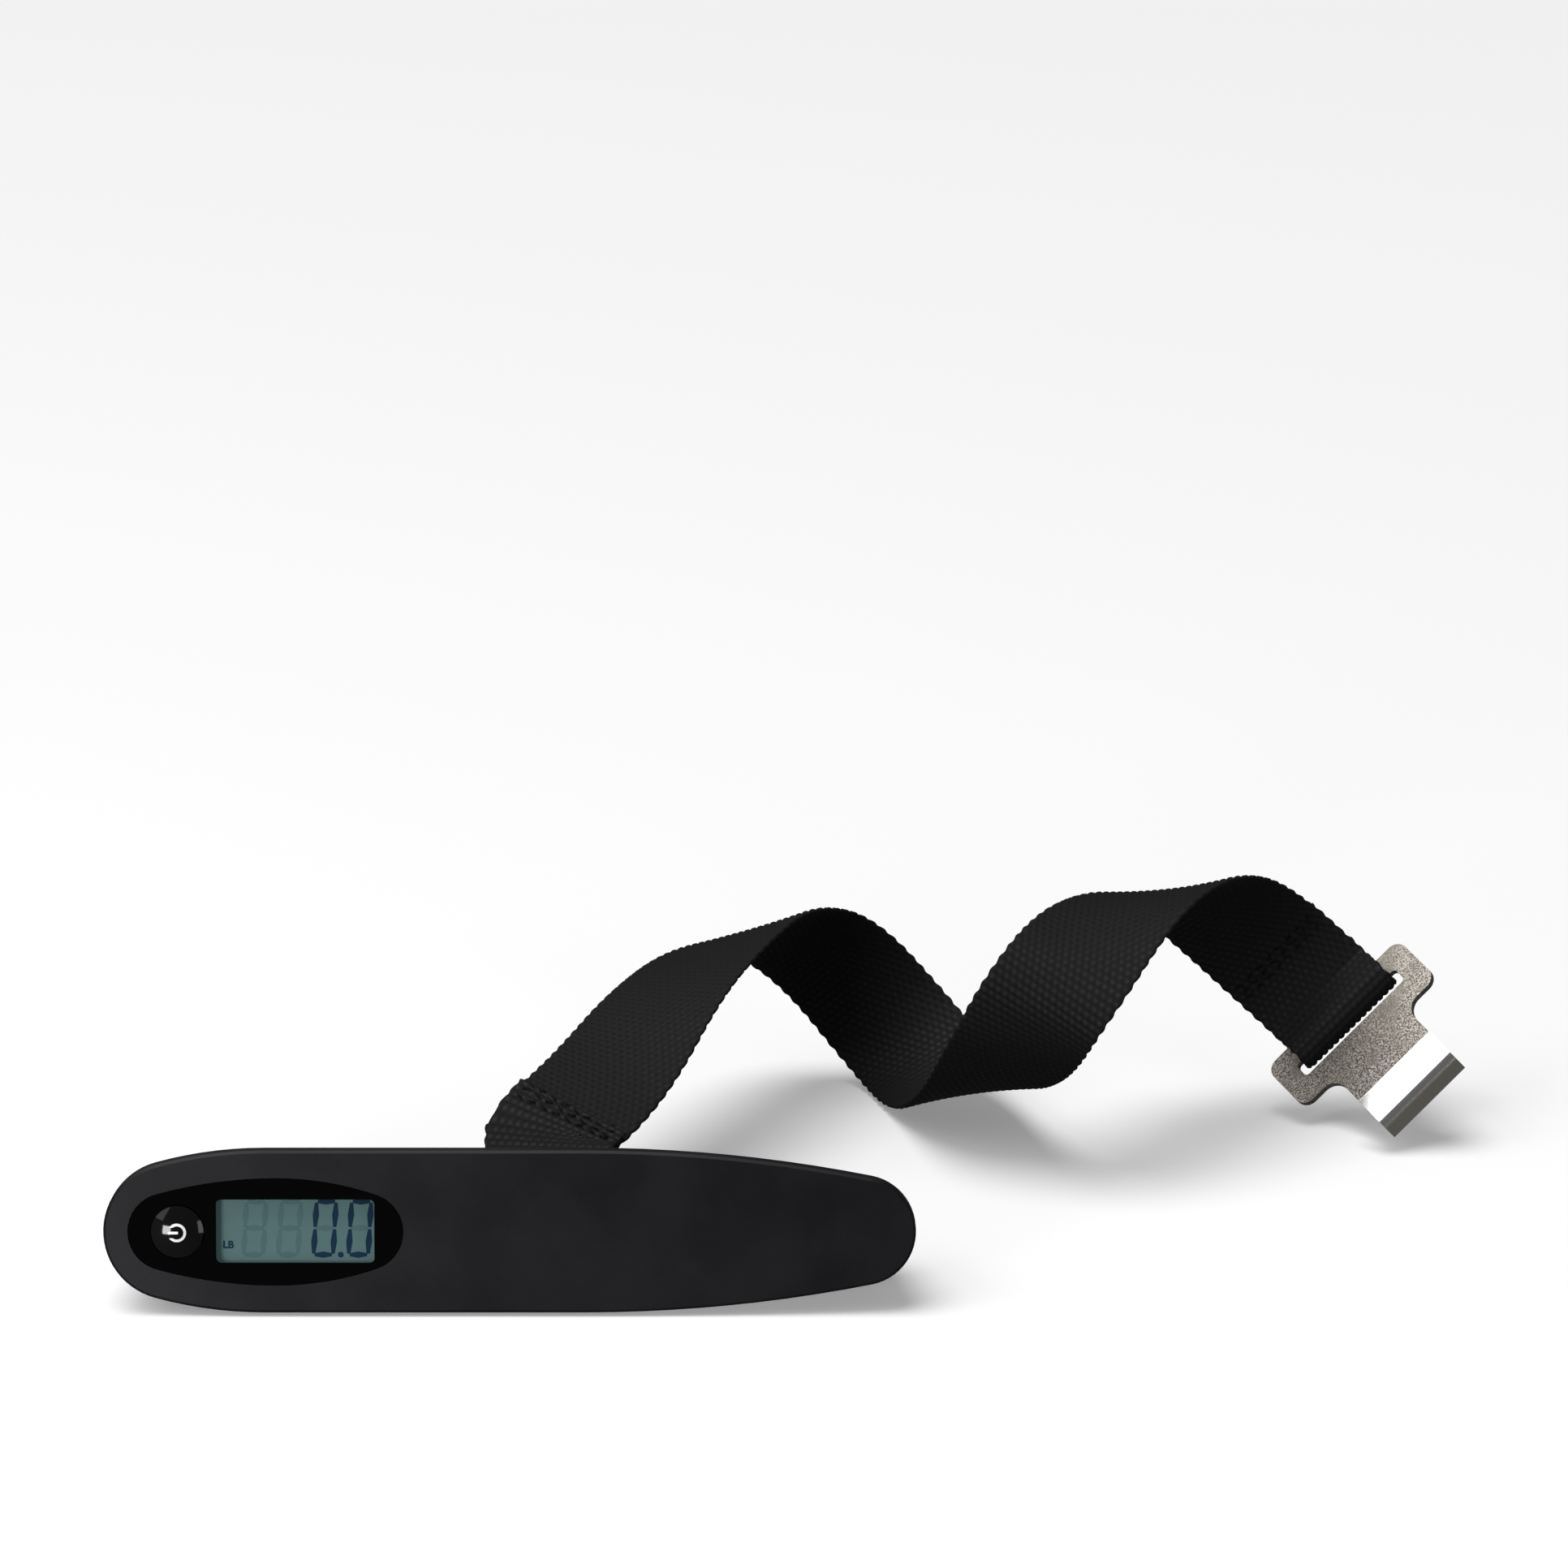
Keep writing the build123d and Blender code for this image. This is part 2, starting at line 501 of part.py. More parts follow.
def webbing_solid(stations, width, thick):
    """Flat webbing with a smooth line along each of its four long edges."""
    planes = []
    for here, along, across in stations:
        square = across - along * (across.dot(along) / along.dot(along))
        planes.append(Plane(origin=here, x_dir=square, z_dir=along))
    half, lift = width / 2, thick / 2
    corners = [(-half, lift), (half, lift), (half, -lift), (-half, -lift)]
    rows = [[plane.from_local_coords((x, y, 0)) for plane in planes] for x, y in corners]
    edges = [Edge.make_spline(row) for row in rows]
    sides = [Face.make_surface_from_curves(edges[i - 1], edges[i]) for i in range(4)]
    ends = [Face(Wire.make_polygon([row[i] for row in rows], close=True)) for i in (0, -1)]
    return Solid(Shell(sides + ends))


stations = strap_stations(STRAP_ROUTE)
strap = webbing_solid(stations, STRAP_WIDTH, STRAP_THICK)
save("strap", strap)
length = sum((b[0] - a[0]).length for a, b in zip(stations, stations[1:]))
print("strap length", round(length, 1), "lowest", round(strap.bounding_box().min.Z, 2))

# The webbing goes round the ring's far bar and round the hook's bar in sewn loops.
ring_loop_r = WIRE_R + LOOP_CLEAR
loop_axis = Rot(Y=90)
ring_loop = Pos(strap_bar) * loop_axis * (
    Cylinder(ring_loop_r + STRAP_THICK, STRAP_WIDTH) - Cylinder(ring_loop_r, STRAP_WIDTH))
save("ring_loop", ring_loop)

across = Vector(*HOOK_ACROSS).normalized()
hook_up = across.cross(Vector(*HOOK_ALONG)).normalized() * -1
hook_plane = Plane(origin=Vector(*HOOK_EDGE) + Vector(0, CASE_Y, 0), x_dir=across, z_dir=hook_up)
if hook_plane.y_dir.dot(Vector(*HOOK_ALONG)) > 0:
    raise ValueError("the hook's plane is turned round")
bar_r = Vector(HOOK_BAR / 2, HOOK_STEEL / 2).length
hook_loop_r = bar_r + LOOP_CLEAR
bar_axis = hook_plane * Pos(0, -HOOK_BAR / 2, HOOK_STEEL / 2)
hook_loop = bar_axis * loop_axis * (
    Cylinder(hook_loop_r + STRAP_THICK, STRAP_WIDTH) - Cylinder(hook_loop_r, STRAP_WIDTH))
save("hook_loop", hook_loop)

# ---------------------------------------------------------------- hook
head = Pos(0, -HEAD_LENGTH / 2) * RectangleRounded(HEAD_WIDTH, HEAD_LENGTH, HEAD_CORNER_R)
neck_end = HOOK_LENGTH - 3.0
neck = Pos(0, -(HEAD_LENGTH + neck_end) / 2) * Rectangle(NECK_WIDTH, neck_end - HEAD_LENGTH + 1.0)
corners = Sketch()
for side in (-1, 1):
    x, y = side * (NECK_WIDTH + NECK_CORNER_R) / 2, -HEAD_LENGTH - NECK_CORNER_R / 2
    filler = Pos(x, y) * Rectangle(NECK_CORNER_R, NECK_CORNER_R)
    far_corner = Pos(side * (NECK_WIDTH / 2 + NECK_CORNER_R), -HEAD_LENGTH - NECK_CORNER_R)
    corners += filler - far_corner * Circle(NECK_CORNER_R)
slot_y = -(HOOK_BAR + SLOT_SIZE[1] / 2)
flat = head + neck + corners - Pos(0, slot_y) * RectangleRounded(*SLOT_SIZE, 0.8)
strap_hook = extrude(flat, HOOK_STEEL)

fold_middle = (LIP_LENGTH / 2 - HOOK_LENGTH, FOLD_HEIGHT / 2)
lip_gap = FOLD_HEIGHT - 2 * HOOK_STEEL
outer_fold = Pos(*fold_middle) * RectangleRounded(LIP_LENGTH, FOLD_HEIGHT, FOLD_R)
inner_fold = Pos(HOOK_STEEL) * Pos(*fold_middle) * RectangleRounded(LIP_LENGTH, lip_gap, FOLD_R - HOOK_STEEL)
square_end = Pos(LIP_LENGTH - HOOK_LENGTH - FOLD_R / 2, FOLD_HEIGHT / 2) * Rectangle(FOLD_R, FOLD_HEIGHT)
fold_profile = outer_fold + square_end - inner_fold
fold_profile -= Pos(LIP_LENGTH - HOOK_LENGTH, FOLD_HEIGHT / 2) * Rectangle(3, lip_gap)
strap_hook += Pos(-NECK_WIDTH / 2, 0, 0) * extrude(Plane.YZ * fold_profile, NECK_WIDTH)
save("strap_hook", hook_plane * strap_hook)


# ---------------------------------------------------------------- stitching
def stitch_bar(run, distance):
    """Rows of raised thread across the webbing, at a distance along a run of its stations."""
    gone, i = 0.0, 0
    step = run[1][0] - run[0][0]
    while gone + step.length < distance:
        gone += step.length
        i += 1
        step = run[i + 1][0] - run[i][0]
    share = (distance - gone) / step.length
    here, along, width = [a + (b - a) * share for a, b in zip(run[i], run[i + 1])]
    square = width - along * (width.dot(along) / along.dot(along))
    plane = Plane(origin=here, x_dir=square, z_dir=along.cross(square))
    thread_width, thread_height = THREAD_SIZE
    thread = Box(STRAP_WIDTH - 3, thread_width, thread_height)
    lift = (STRAP_THICK + thread_height) / 2 + 0.05
    rows = [STITCH_GAP * (row - (STITCH_ROWS - 1) / 2) for row in range(STITCH_ROWS)]
    return [plane * Pos(0, y, lift) * thread for y in rows]


save("ring_stitching", *stitch_bar(stations, FIRST_STITCH))
save("hook_stitching", *stitch_bar(stations[::-1], LAST_STITCH))
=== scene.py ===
"""Dresses a digital luggage scale: moulded case, display window, webbing, ring and hook."""
import logging
from dataclasses import dataclass, field
from enum import Enum
from math import cos, pi, radians, sin
from typing import Any, Optional, Sequence, Union

import bpy
from mathutils import Matrix, Vector


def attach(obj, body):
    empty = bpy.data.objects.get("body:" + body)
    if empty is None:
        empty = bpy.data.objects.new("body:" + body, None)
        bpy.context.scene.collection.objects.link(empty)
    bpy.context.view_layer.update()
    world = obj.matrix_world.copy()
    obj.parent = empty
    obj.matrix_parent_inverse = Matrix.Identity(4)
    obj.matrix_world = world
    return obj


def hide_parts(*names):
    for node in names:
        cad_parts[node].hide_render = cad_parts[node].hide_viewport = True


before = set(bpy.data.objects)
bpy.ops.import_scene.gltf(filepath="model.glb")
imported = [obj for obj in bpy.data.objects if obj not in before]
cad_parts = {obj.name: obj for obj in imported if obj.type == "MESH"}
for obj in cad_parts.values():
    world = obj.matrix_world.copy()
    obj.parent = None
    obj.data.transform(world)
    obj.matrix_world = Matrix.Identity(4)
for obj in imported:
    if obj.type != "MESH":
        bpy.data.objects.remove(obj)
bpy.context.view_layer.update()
log = logging.getLogger("luggage_scale")

MM = 0.001
LEAN = radians(12.0)
FACE_MIDDLE = Vector((0.0, -17.417 * MM, 15.797 * MM))
CASE_PLACE = Matrix.Translation(FACE_MIDDLE) @ Matrix.Rotation(-LEAN, 4, "X")

# The webbing's control points from the ring to the hook, with Y from the face's middle, and the
# heading and rise of its width in degrees.
STRAP_ROUTE = [
    (6.3, 38.5, 18, 0, 0),
    (6.6, 42.2, 20, -4, -3),
    (12.5, 49, 23, -13, -11),
    (19, 59.7, 27, -20, -8),
    (28, 77.7, 35, -27, 6),
    (37, 95.7, 38, -29, 14),
    (47, 114.7, 37, -27, 27),
    (60, 127.7, 27, -14, 41),
    (75, 126.7, 9, 18, 40),
    (84, 106.7, 4.5, 18, 15),
    (90, 87.7, 11, 19, -4),
    (95, 70.7, 24, 2, -18),
    (103, 60.7, 42, -23, -34),
    (115, 76.7, 52, -30, -3),
    (127, 94.7, 52, -32, 16),
    (139, 107.7, 42, -11, 39),
    (152, 113.7, 29, 12, 45),
    (160, 110.7, 22, 15, 43),
]


# ---------------------------------------------------------------- shader maths
Number = Union[float, "Channel"]


class Channel:
    """A socket of a shader's node tree, with arithmetic that adds Math nodes."""

    def __init__(self, shader: "Shader", socket: bpy.types.NodeSocket) -> None:
        """Wraps a socket.

        Args:
            shader: the shader that owns the socket's node.
            socket: the output socket.
        """
        self.shader = shader
        self.socket = socket

    def math(self, operation: str, *others: Number, first: Optional[Number] = None) -> "Channel":
        """Adds one Math node.

        Args:
            operation: the Math node's operation.
            others: the operands after this one.
            first: an operand that comes before this one.

        Returns:
            The result.
        """
        values = [self, *others] if first is None else [first, self, *others]
        return self.shader.node("ShaderNodeMath", {"operation": operation}, dict(enumerate(values)))

    def __add__(self, other: Number) -> "Channel":
        """Sum."""
        return self.math("ADD", other)

    def __radd__(self, other: Number) -> "Channel":
        """Sum, reflected."""
        return self.math("ADD", first=other)

    def __sub__(self, other: Number) -> "Channel":
        """Difference."""
        return self.math("SUBTRACT", other)

    def __rsub__(self, other: Number) -> "Channel":
        """Difference, reflected."""
        return self.math("SUBTRACT", first=other)

    def __mul__(self, other: Number) -> "Channel":
        """Product."""
        return self.math("MULTIPLY", other)

    def __rmul__(self, other: Number) -> "Channel":
        """Product, reflected."""
        return self.math("MULTIPLY", first=other)

    def __truediv__(self, other: Number) -> "Channel":
        """Quotient."""
        return self.math("DIVIDE", other)

    def __rtruediv__(self, other: Number) -> "Channel":
        """Quotient, reflected."""
        return self.math("DIVIDE", first=other)

    def __pow__(self, other: Number) -> "Channel":
        """Power."""
        return self.math("POWER", other)

    def __rpow__(self, other: Number) -> "Channel":
        """Power, reflected."""
        return self.math("POWER", first=other)

    def absolute(self) -> "Channel":
        """Distance from zero."""
        return self.math("ABSOLUTE")

    def sine(self) -> "Channel":
        """Sine, of radians."""
        return self.math("SINE")

    def below(self, limit: Number) -> "Channel":
        """1 where this is less than the limit, else 0."""
        return self.math("LESS_THAN", limit)

    def step(self, low: float, high: float) -> "Channel":
        """A smooth rise from 0 at low to 1 at high."""
        settings = {"interpolation_type": "SMOOTHSTEP"}
        limits = {"Value": self, "From Min": low, "From Max": high}
        return self.shader.node("ShaderNodeMapRange", settings, limits)


class Shader:
    """A material's node tree round one Principled shader."""

    def __init__(self, name: str) -> None:
        """Makes an empty material.

        Args:
            name: the material's name.
        """
        self.material = bpy.data.materials.new(name)
        self.material.use_nodes = True
        self.tree = self.material.node_tree
        self.surface = next(n for n in self.tree.nodes if n.type == "BSDF_PRINCIPLED")

    def node(self, kind: str, settings: dict[str, Any], inputs: dict[Any, Any],
             output: Any = 0) -> Channel:
        """Adds a node.

        Args:
            kind: the node's type.
            settings: attributes that are set before its sockets.
            inputs: values or channels by the socket's name or number.
            output: the name or number of the socket to give back.

        Returns:
            The chosen output.
        """
        made = self.tree.nodes.new(kind)
        for key, value in settings.items():
            setattr(made, key, value)
        for key, value in inputs.items():
            self._feed(made.inputs[key], value)
        return Channel(self, made.outputs[output])

    def _feed(self, socket: bpy.types.NodeSocket, value: Any) -> None:
        """Links a channel to a socket, or sets the socket's own value."""
        if isinstance(value, Channel):
            self.tree.links.new(value.socket, socket)
        else:
            socket.default_value = value

    def place(self) -> Channel:
        """The point's place in the piece's own frame."""
        return self.node("ShaderNodeTexCoord", {}, {}, "Object")

    def unwrapped(self) -> tuple[Channel, Channel]:
        """Distance across and along the cloth, in its own widths."""
        flat = self.node("ShaderNodeTexCoord", {}, {}, "UV")
        return (self.node("ShaderNodeSeparateXYZ", {}, {0: flat}, 0),
                self.node("ShaderNodeSeparateXYZ", {}, {0: flat}, 1))

    def noise(self, scale: float, detail: float = 2.0,
              stretch: Sequence[float] = (1, 1, 1)) -> Channel:
        """Noise from 0 to 1 over the piece.

        Args:
            scale: blotches to the metre.
            detail: octaves.
            stretch: scale factors along X, Y and Z.

        Returns:
            The noise's factor.
        """
        mapped = self.node("ShaderNodeMapping", {}, {"Vector": self.place(), "Scale": stretch})
        inputs = {"Vector": mapped, "Scale": scale, "Detail": detail}
        return self.node("ShaderNodeTexNoise", {}, inputs)

    def blend(self, share: Number, first: Any, second: Any) -> Channel:
        """Mixes two colours.

        Args:
            share: 0 for the first, 1 for the second.
            first: a colour or channel.
            second: a colour or channel.

        Returns:
            The mixed colour.
        """
        made = self.tree.nodes.new("ShaderNodeMix")
        made.data_type = "RGBA"
        self._feed(made.inputs[0], share)
        for number, value in ((6, first), (7, second)):
            self._feed(made.inputs[number], opaque(value) if isinstance(value, tuple) else value)
        return Channel(self, made.outputs[2])

    def bump(self, height: Channel, distance: float) -> Channel:
        """A normal tilted by a height.

        Args:
            height: the height, 0 to 1.
            distance: metres for a height of 1.

        Returns:
            The normal.
        """
        inputs = {"Height": height, "Distance": distance, "Strength": 1.0}
        return self.node("ShaderNodeBump", {}, inputs)

    def set(self, **sockets: Any) -> bpy.types.Material:
        """Sets the Principled shader's sockets, by name with _ for a space.

        Args:
            sockets: values or channels.

        Returns:
            The finished material.
        """
        for key, value in sockets.items():
            socket = self.surface.inputs[key.replace("_", " ")]
            self._feed(socket, opaque(value) if isinstance(value, tuple) else value)
        return self.material


def opaque(colour: tuple) -> tuple:
    """A colour of three numbers with a full alpha."""
    return (*colour, 1.0) if len(colour) == 3 else colour


# ---------------------------------------------------------------- finishes
@dataclass(frozen=True)
class Moulding:
    """Moulded plastic, rubber or resin with a fine grain and faint handling marks."""

    name: str
    colour: tuple[float, float, float]
    roughness: float
    grain: float = 5000.0
    grain_depth: float = 0.02 * MM
    coat: float = 0.0
    specular: float = 0.5

    def material(self) -> bpy.types.Material:
        """Builds the material."""
        shader = Shader(self.name)
        smudge = shader.noise(60.0, 4.0)
        grain = shader.noise(self.grain, 2.0)
        lighter = tuple(min(1.0, channel * 1.25 + 0.002) for channel in self.colour)
        darker = tuple(channel * 0.85 for channel in self.colour)
        return shader.set(Base_Color=shader.blend(smudge.step(0.3, 0.7), darker, lighter),
                          Roughness=self.roughness + 0.06 * (smudge - 0.5),
                          Normal=shader.bump(grain, self.grain_depth), Coat_Weight=self.coat,
                          Specular_IOR_Level=self.specular)


@dataclass(frozen=True)
class Plating:
    """Plated or bare metal with tarnish, fine pits and rubbed patches."""

    name: str
    colour: tuple[float, float, float]
    roughness: float
    pits: float = 2600.0
    pit_depth: float = 0.02 * MM
    tarnish: float = 0.35
    brush: tuple[float, float, float] = (1.0, 1.0, 1.0)

    def material(self) -> bpy.types.Material:
        """Builds the material."""
        shader = Shader(self.name)
        patches = shader.noise(140.0, 5.0)
        pits = shader.noise(self.pits, 3.0, self.brush)
        dull = tuple(channel * (1.0 - self.tarnish) for channel in self.colour)
        return shader.set(Base_Color=shader.blend(patches.step(0.35, 0.75), self.colour, dull),
                          Metallic=1.0,
                          Roughness=self.roughness + 0.2 * (patches - 0.5) + 0.1 * (pits - 0.5),
                          Normal=shader.bump(pits, self.pit_depth))


@dataclass(frozen=True)
class HookPlating:
    """Nickel plate: dull and pitted on the stamped flats, polished on the hook's folded lip.

    The lip and its far fold start at distances from the hook's edge nearest the strap.
    """

    name: str = "ring_nickel"
    near_edge: Vector = field(default_factory=lambda: Vector((161.5, 93.783, 20.6)) * MM)
    along: Vector = field(default_factory=lambda: Vector((0.559365, -0.737768, -0.377902)))
    lip_start: float = 23.6 * MM
    fold_start: float = 31.6 * MM
    dull_roughness: float = 0.40
    lip_roughness: float = 0.16
    pit_depth: float = 0.05 * MM

    def material(self) -> bpy.types.Material:
        """Builds the material."""
        shader = Shader(self.name)
        away = shader.node("ShaderNodeVectorMath", {"operation": "SUBTRACT"},
                           {0: shader.place(), 1: self.near_edge})
        reach = shader.node("ShaderNodeVectorMath", {"operation": "DOT_PRODUCT"},
                            {0: away, 1: self.along}, "Value")
        lip = reach.step(self.lip_start, self.lip_start + 0.2 * MM)
        end = reach.step(self.fold_start, self.fold_start + 0.5 * MM)
        polished = shader.blend(end, (0.93, 0.92, 0.90), (0.80, 0.74, 0.64))
        patches = shader.noise(160.0, 5.0)
        speck = shader.noise(3200.0, 4.0)
        pits = shader.noise(1500.0, 2.0)
        grey = shader.blend(speck.step(0.42, 0.58), (0.11, 0.098, 0.086), (0.46, 0.425, 0.38))
        dull = shader.blend(patches.step(0.4, 0.75), grey, (0.20, 0.18, 0.155))
        smoother = self.dull_roughness - self.lip_roughness
        return shader.set(Base_Color=shader.blend(lip, dull, polished), Metallic=1.0,
                          Roughness=self.dull_roughness - smoother * lip + 0.12 * (speck - 0.5),
                          Normal=shader.bump(pits * (1.0 - lip), self.pit_depth))


@dataclass(frozen=True)
class Weave:
    """Black woven webbing or thread: the yarn's filaments, with painted highlight on the raised
    crowns and painted shade in the hollows.
    """

    name: str
    colour: tuple[float, float, float]
    rows: float
    floats: float = 16.0
    filaments: int = 5
    # how many times lighter the painted highlight makes the crowns
    crown_highlight_gain: float = 6.0
    relief: float = 0.07 * MM

    def material(self) -> bpy.types.Material:
        """Builds the material."""
        shader = Shader(self.name)
        across, along = shader.unwrapped()
        filament = (across * (self.floats * 2 * pi * self.filaments)).sine() * 0.5 + 0.5
        rib = (along * (self.rows * pi)).sine().absolute()
        # patchy noise that sets how strongly each crown takes the painted highlight
        crown_patchiness = shader.noise(350.0, 3.0)
        # painted highlight: the crowns of the floats get a colour several times lighter, and the
        # hollows keep the dark colour as painted shade
        lit_crown_colour = tuple(channel * self.crown_highlight_gain for channel in self.colour)
        shift = (along * self.rows / 2).math("FRACT").below(0.5) * 0.5
        bow = ((across * self.floats + shift) * pi).sine().absolute()
        # share of the painted highlight: full on the crowns of the floats, none in the hollows
        share = (rib * bow) ** 2.2 * (0.3 + 0.7 * crown_patchiness)
        height = filament * 0.4 + shader.noise(4000.0, 1.0) * 0.6
        return shader.set(Base_Color=shader.blend(share, self.colour, lit_crown_colour),
                          Roughness=0.74 - 0.36 * share, Sheen_Weight=0.01, Sheen_Roughness=0.5,
                          Specular_IOR_Level=0.26, Normal=shader.bump(height, self.relief))


@dataclass(frozen=True)
class MaskedWindow:
    """Gloss-black lens that is clear in a rounded rectangle over the display."""

    name: str = "window_black"
    middle_x: float = -40.05 * MM
    half_width: float = 14.8 * MM
    half_height: float = 6.05 * MM
    corner: float = 1.0 * MM
    edge_blur: float = 0.04 * MM

    def material(self) -> bpy.types.Material:
        """Builds the material."""
        shader = Shader(self.name)
        x, y, z = (shader.node("ShaderNodeSeparateXYZ", {}, {0: shader.place()}, axis)
                   for axis in range(3))
        rise = (y - FACE_MIDDLE.y) * sin(LEAN) + (z - FACE_MIDDLE.z) * cos(LEAN)
        inner_width = self.half_width - self.corner
        inner_height = self.half_height - self.corner
        beyond_x = ((x - self.middle_x).absolute() - inner_width).math("MAXIMUM", 0.0)
        beyond_z = (rise.absolute() - inner_height).math("MAXIMUM", 0.0)
        reach = (beyond_x * beyond_x + beyond_z * beyond_z) ** 0.5
        printed = reach.step(self.corner - self.edge_blur, self.corner + self.edge_blur)
        dust = shader.noise(2600.0, 2.0).step(0.74, 0.82)
        tint = shader.blend(dust, (0.0008, 0.0008, 0.0009), (0.004, 0.004, 0.0045))
        return shader.set(Base_Color=tint, Roughness=0.045 + 0.05 * dust,
                          Alpha=0.05 + 0.95 * printed, Specular_IOR_Level=0.16)


@dataclass(frozen=True)
class DisplayGlass:
    """The display's grey-green polariser, with painted shade along its lower and left edges and a
    faint painted glow.
    """

    name: str = "lcd_glass"
    left_edge: float = -55.2 * MM
    lower_edge: float = 9.0 * MM
    shade_height: float = 3.2 * MM

    def material(self) -> bpy.types.Material:
        """Builds the material."""
        shader = Shader(self.name)
        z = shader.node("ShaderNodeSeparateXYZ", {}, {0: shader.place()}, 2)
        x = shader.node("ShaderNodeSeparateXYZ", {}, {0: shader.place()}, 0)
        # painted shade: the glass is darker along its lower and left edges, where the holder's edge
        # shades it
        edge = ((z - self.lower_edge).step(0.0, self.shade_height)
                * (x - self.left_edge).step(-0.5 * MM, 2.0 * MM))
        cloud = shader.noise(300.0, 3.0)
        lit = shader.blend(cloud, (0.068, 0.140, 0.142), (0.080, 0.152, 0.152))
        # the emission is a painted glow: the glass gives off faint light of its own, though no lamp
        # is behind it
        return shader.set(Base_Color=shader.blend(edge, (0.07, 0.12, 0.12), lit),
                          Roughness=0.35 + 0.1 * cloud,
                          Specular_IOR_Level=0.3, Normal=shader.bump(cloud, 0.002 * MM),
                          Emission_Color=(0.05, 0.10, 0.105), Emission_Strength=0.3)


@dataclass(frozen=True)
class SolderMask:
    """Green board lacquer over copper tracks."""

    name: str = "board_green"

    def material(self) -> bpy.types.Material:
        """Builds the material."""
        shader = Shader(self.name)
        tracks = shader.noise(420.0, 0.0, (1.0, 1.0, 2.5))
        track = 1.0 - (tracks * 14.0).sine().absolute().step(0.1, 0.25)
        return shader.set(Base_Color=shader.blend(track, (0.015, 0.12, 0.05), (0.03, 0.22, 0.09)),
                          Roughness=0.35 + 0.15 * track, Normal=shader.bump(track, 0.03 * MM))


@dataclass(frozen=True)
class Ink:
    """Liquid-crystal segments: dark blue where they are on, faint where they are off."""

    name: str
    colour: tuple[float, float, float]
    alpha: float

    def material(self) -> bpy.types.Material:
        """Builds the material."""
        shader = Shader(self.name)
        uneven = shader.noise(1500.0, 2.0)
        lighter = tuple(channel * 1.3 for channel in self.colour)
        return shader.set(Base_Color=shader.blend(uneven, self.colour, lighter), Roughness=0.5,
                          Alpha=self.alpha * (0.92 + 0.08 * uneven), Specular_IOR_Level=0.1)


class Finish(Enum):
    """The finishes of the nodes that keep their own shape."""

    CASE = Moulding("case_black", (0.0070, 0.0066, 0.0085), 0.40, 5200.0, 0.02 * MM, specular=0.16)
    WINDOW = MaskedWindow()
    BUTTON = Moulding("button_black", (0.0035, 0.003, 0.0035), 0.07, 300.0, 0.001 * MM, 0.0, 0.30)
    PRINT = Moulding("print_white", (0.85, 0.86, 0.88), 0.45, 3000.0, 0.004 * MM)
    FOAM = Moulding("gasket_foam", (0.02, 0.02, 0.02), 0.9, 4000.0, 0.1 * MM)
    STEM = Moulding("stem_black", (0.03, 0.03, 0.03), 0.5)
    TRAY = Moulding("tray_black", (0.035, 0.035, 0.036), 0.55)
    HOLDER = Moulding("holder_white", (0.75, 0.75, 0.72), 0.55)
    RESIN = Moulding("resin_black", (0.01, 0.01, 0.01), 0.18, 500.0, 0.02 * MM, 0.4)
    CERAMIC = Moulding("ceramic_tan", (0.42, 0.29, 0.17), 0.6)
    SEALANT = Moulding("sealant_white", (0.7, 0.7, 0.68), 0.5, 900.0, 0.1 * MM)
    WIRE = Moulding("wire_red", (0.4, 0.03, 0.025), 0.4)
    ZEBRA = Moulding("zebra_rubber", (0.1, 0.1, 0.11), 0.7)
    COLLAR = Moulding("collar_black", (0.02, 0.02, 0.021), 0.62, 3500.0, 0.03 * MM)
    DISPLAY = DisplayGlass()
    BOARD = SolderMask()
    NICKEL = HookPlating()
    SCREW = Plating("screw_steel", (0.42, 0.42, 0.43), 0.3)
    SWITCH = Plating("switch_metal", (0.6, 0.6, 0.6), 0.35)
    FOIL = Plating("reflector_foil", (0.7, 0.74, 0.7), 0.4)
    BEAM = Plating("beam_aluminium", (0.72, 0.73, 0.74), 0.32, 2000.0, 0.02 * MM, 0.15,
                   (0.05, 1.0, 1.0))
    COPPER = Plating("gauge_copper", (0.75, 0.48, 0.28), 0.35)
    STEEL = Plating("plate_steel", (0.45, 0.45, 0.45), 0.38)
    CELL = Plating("cell_steel", (0.68, 0.68, 0.69), 0.22, 1500.0, 0.006 * MM, 0.1)


NODE_FINISH = {
    Finish.CASE: ("front_cover", "rear_shell", "battery_door"),
    Finish.WINDOW: ("window_lens",),
    Finish.BUTTON: ("power_button",),
    Finish.PRINT: ("power_icon",),
    Finish.FOAM: ("lens_gasket",),
    Finish.STEM: ("switch_plunger",),
    Finish.TRAY: ("battery_tray",),
    Finish.HOLDER: ("lcd_holder",),
    Finish.RESIN: ("chip_resin",),
    Finish.CERAMIC: ("capacitors",),
    Finish.SEALANT: ("gauge_sealant",),
    Finish.WIRE: ("load_cell_wires",),
    Finish.ZEBRA: ("zebra_strips",),
    Finish.COLLAR: ("slot_collar",),
    Finish.DISPLAY: ("lcd_glass",),
    Finish.BOARD: ("main_board",),
    Finish.NICKEL: ("strap_ring", "strap_hook"),
    Finish.SCREW: ("board_screws", "beam_screws", "plate_screws", "hanger_screw", "case_screws"),
    Finish.SWITCH: ("tact_switch", "clock_crystal"),
    Finish.FOIL: ("lcd_reflector",),
    Finish.BEAM: ("load_cell_beam",),
    Finish.COPPER: ("strain_gauges", "negative_contact", "positive_clip"),
    Finish.STEEL: ("base_plate", "hanger_lug"),
    Finish.CELL: ("coin_cell",),
}


def dress_nodes() -> None:
    """Gives every node that keeps its own shape its finish."""
    for finish, nodes in NODE_FINISH.items():
        material = finish.value.material()
        for node in nodes:
            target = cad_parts[node]
            target.data.materials.clear()
            target.data.materials.append(material)
        log.info("%s: %s", finish.value.name, ", ".join(nodes))


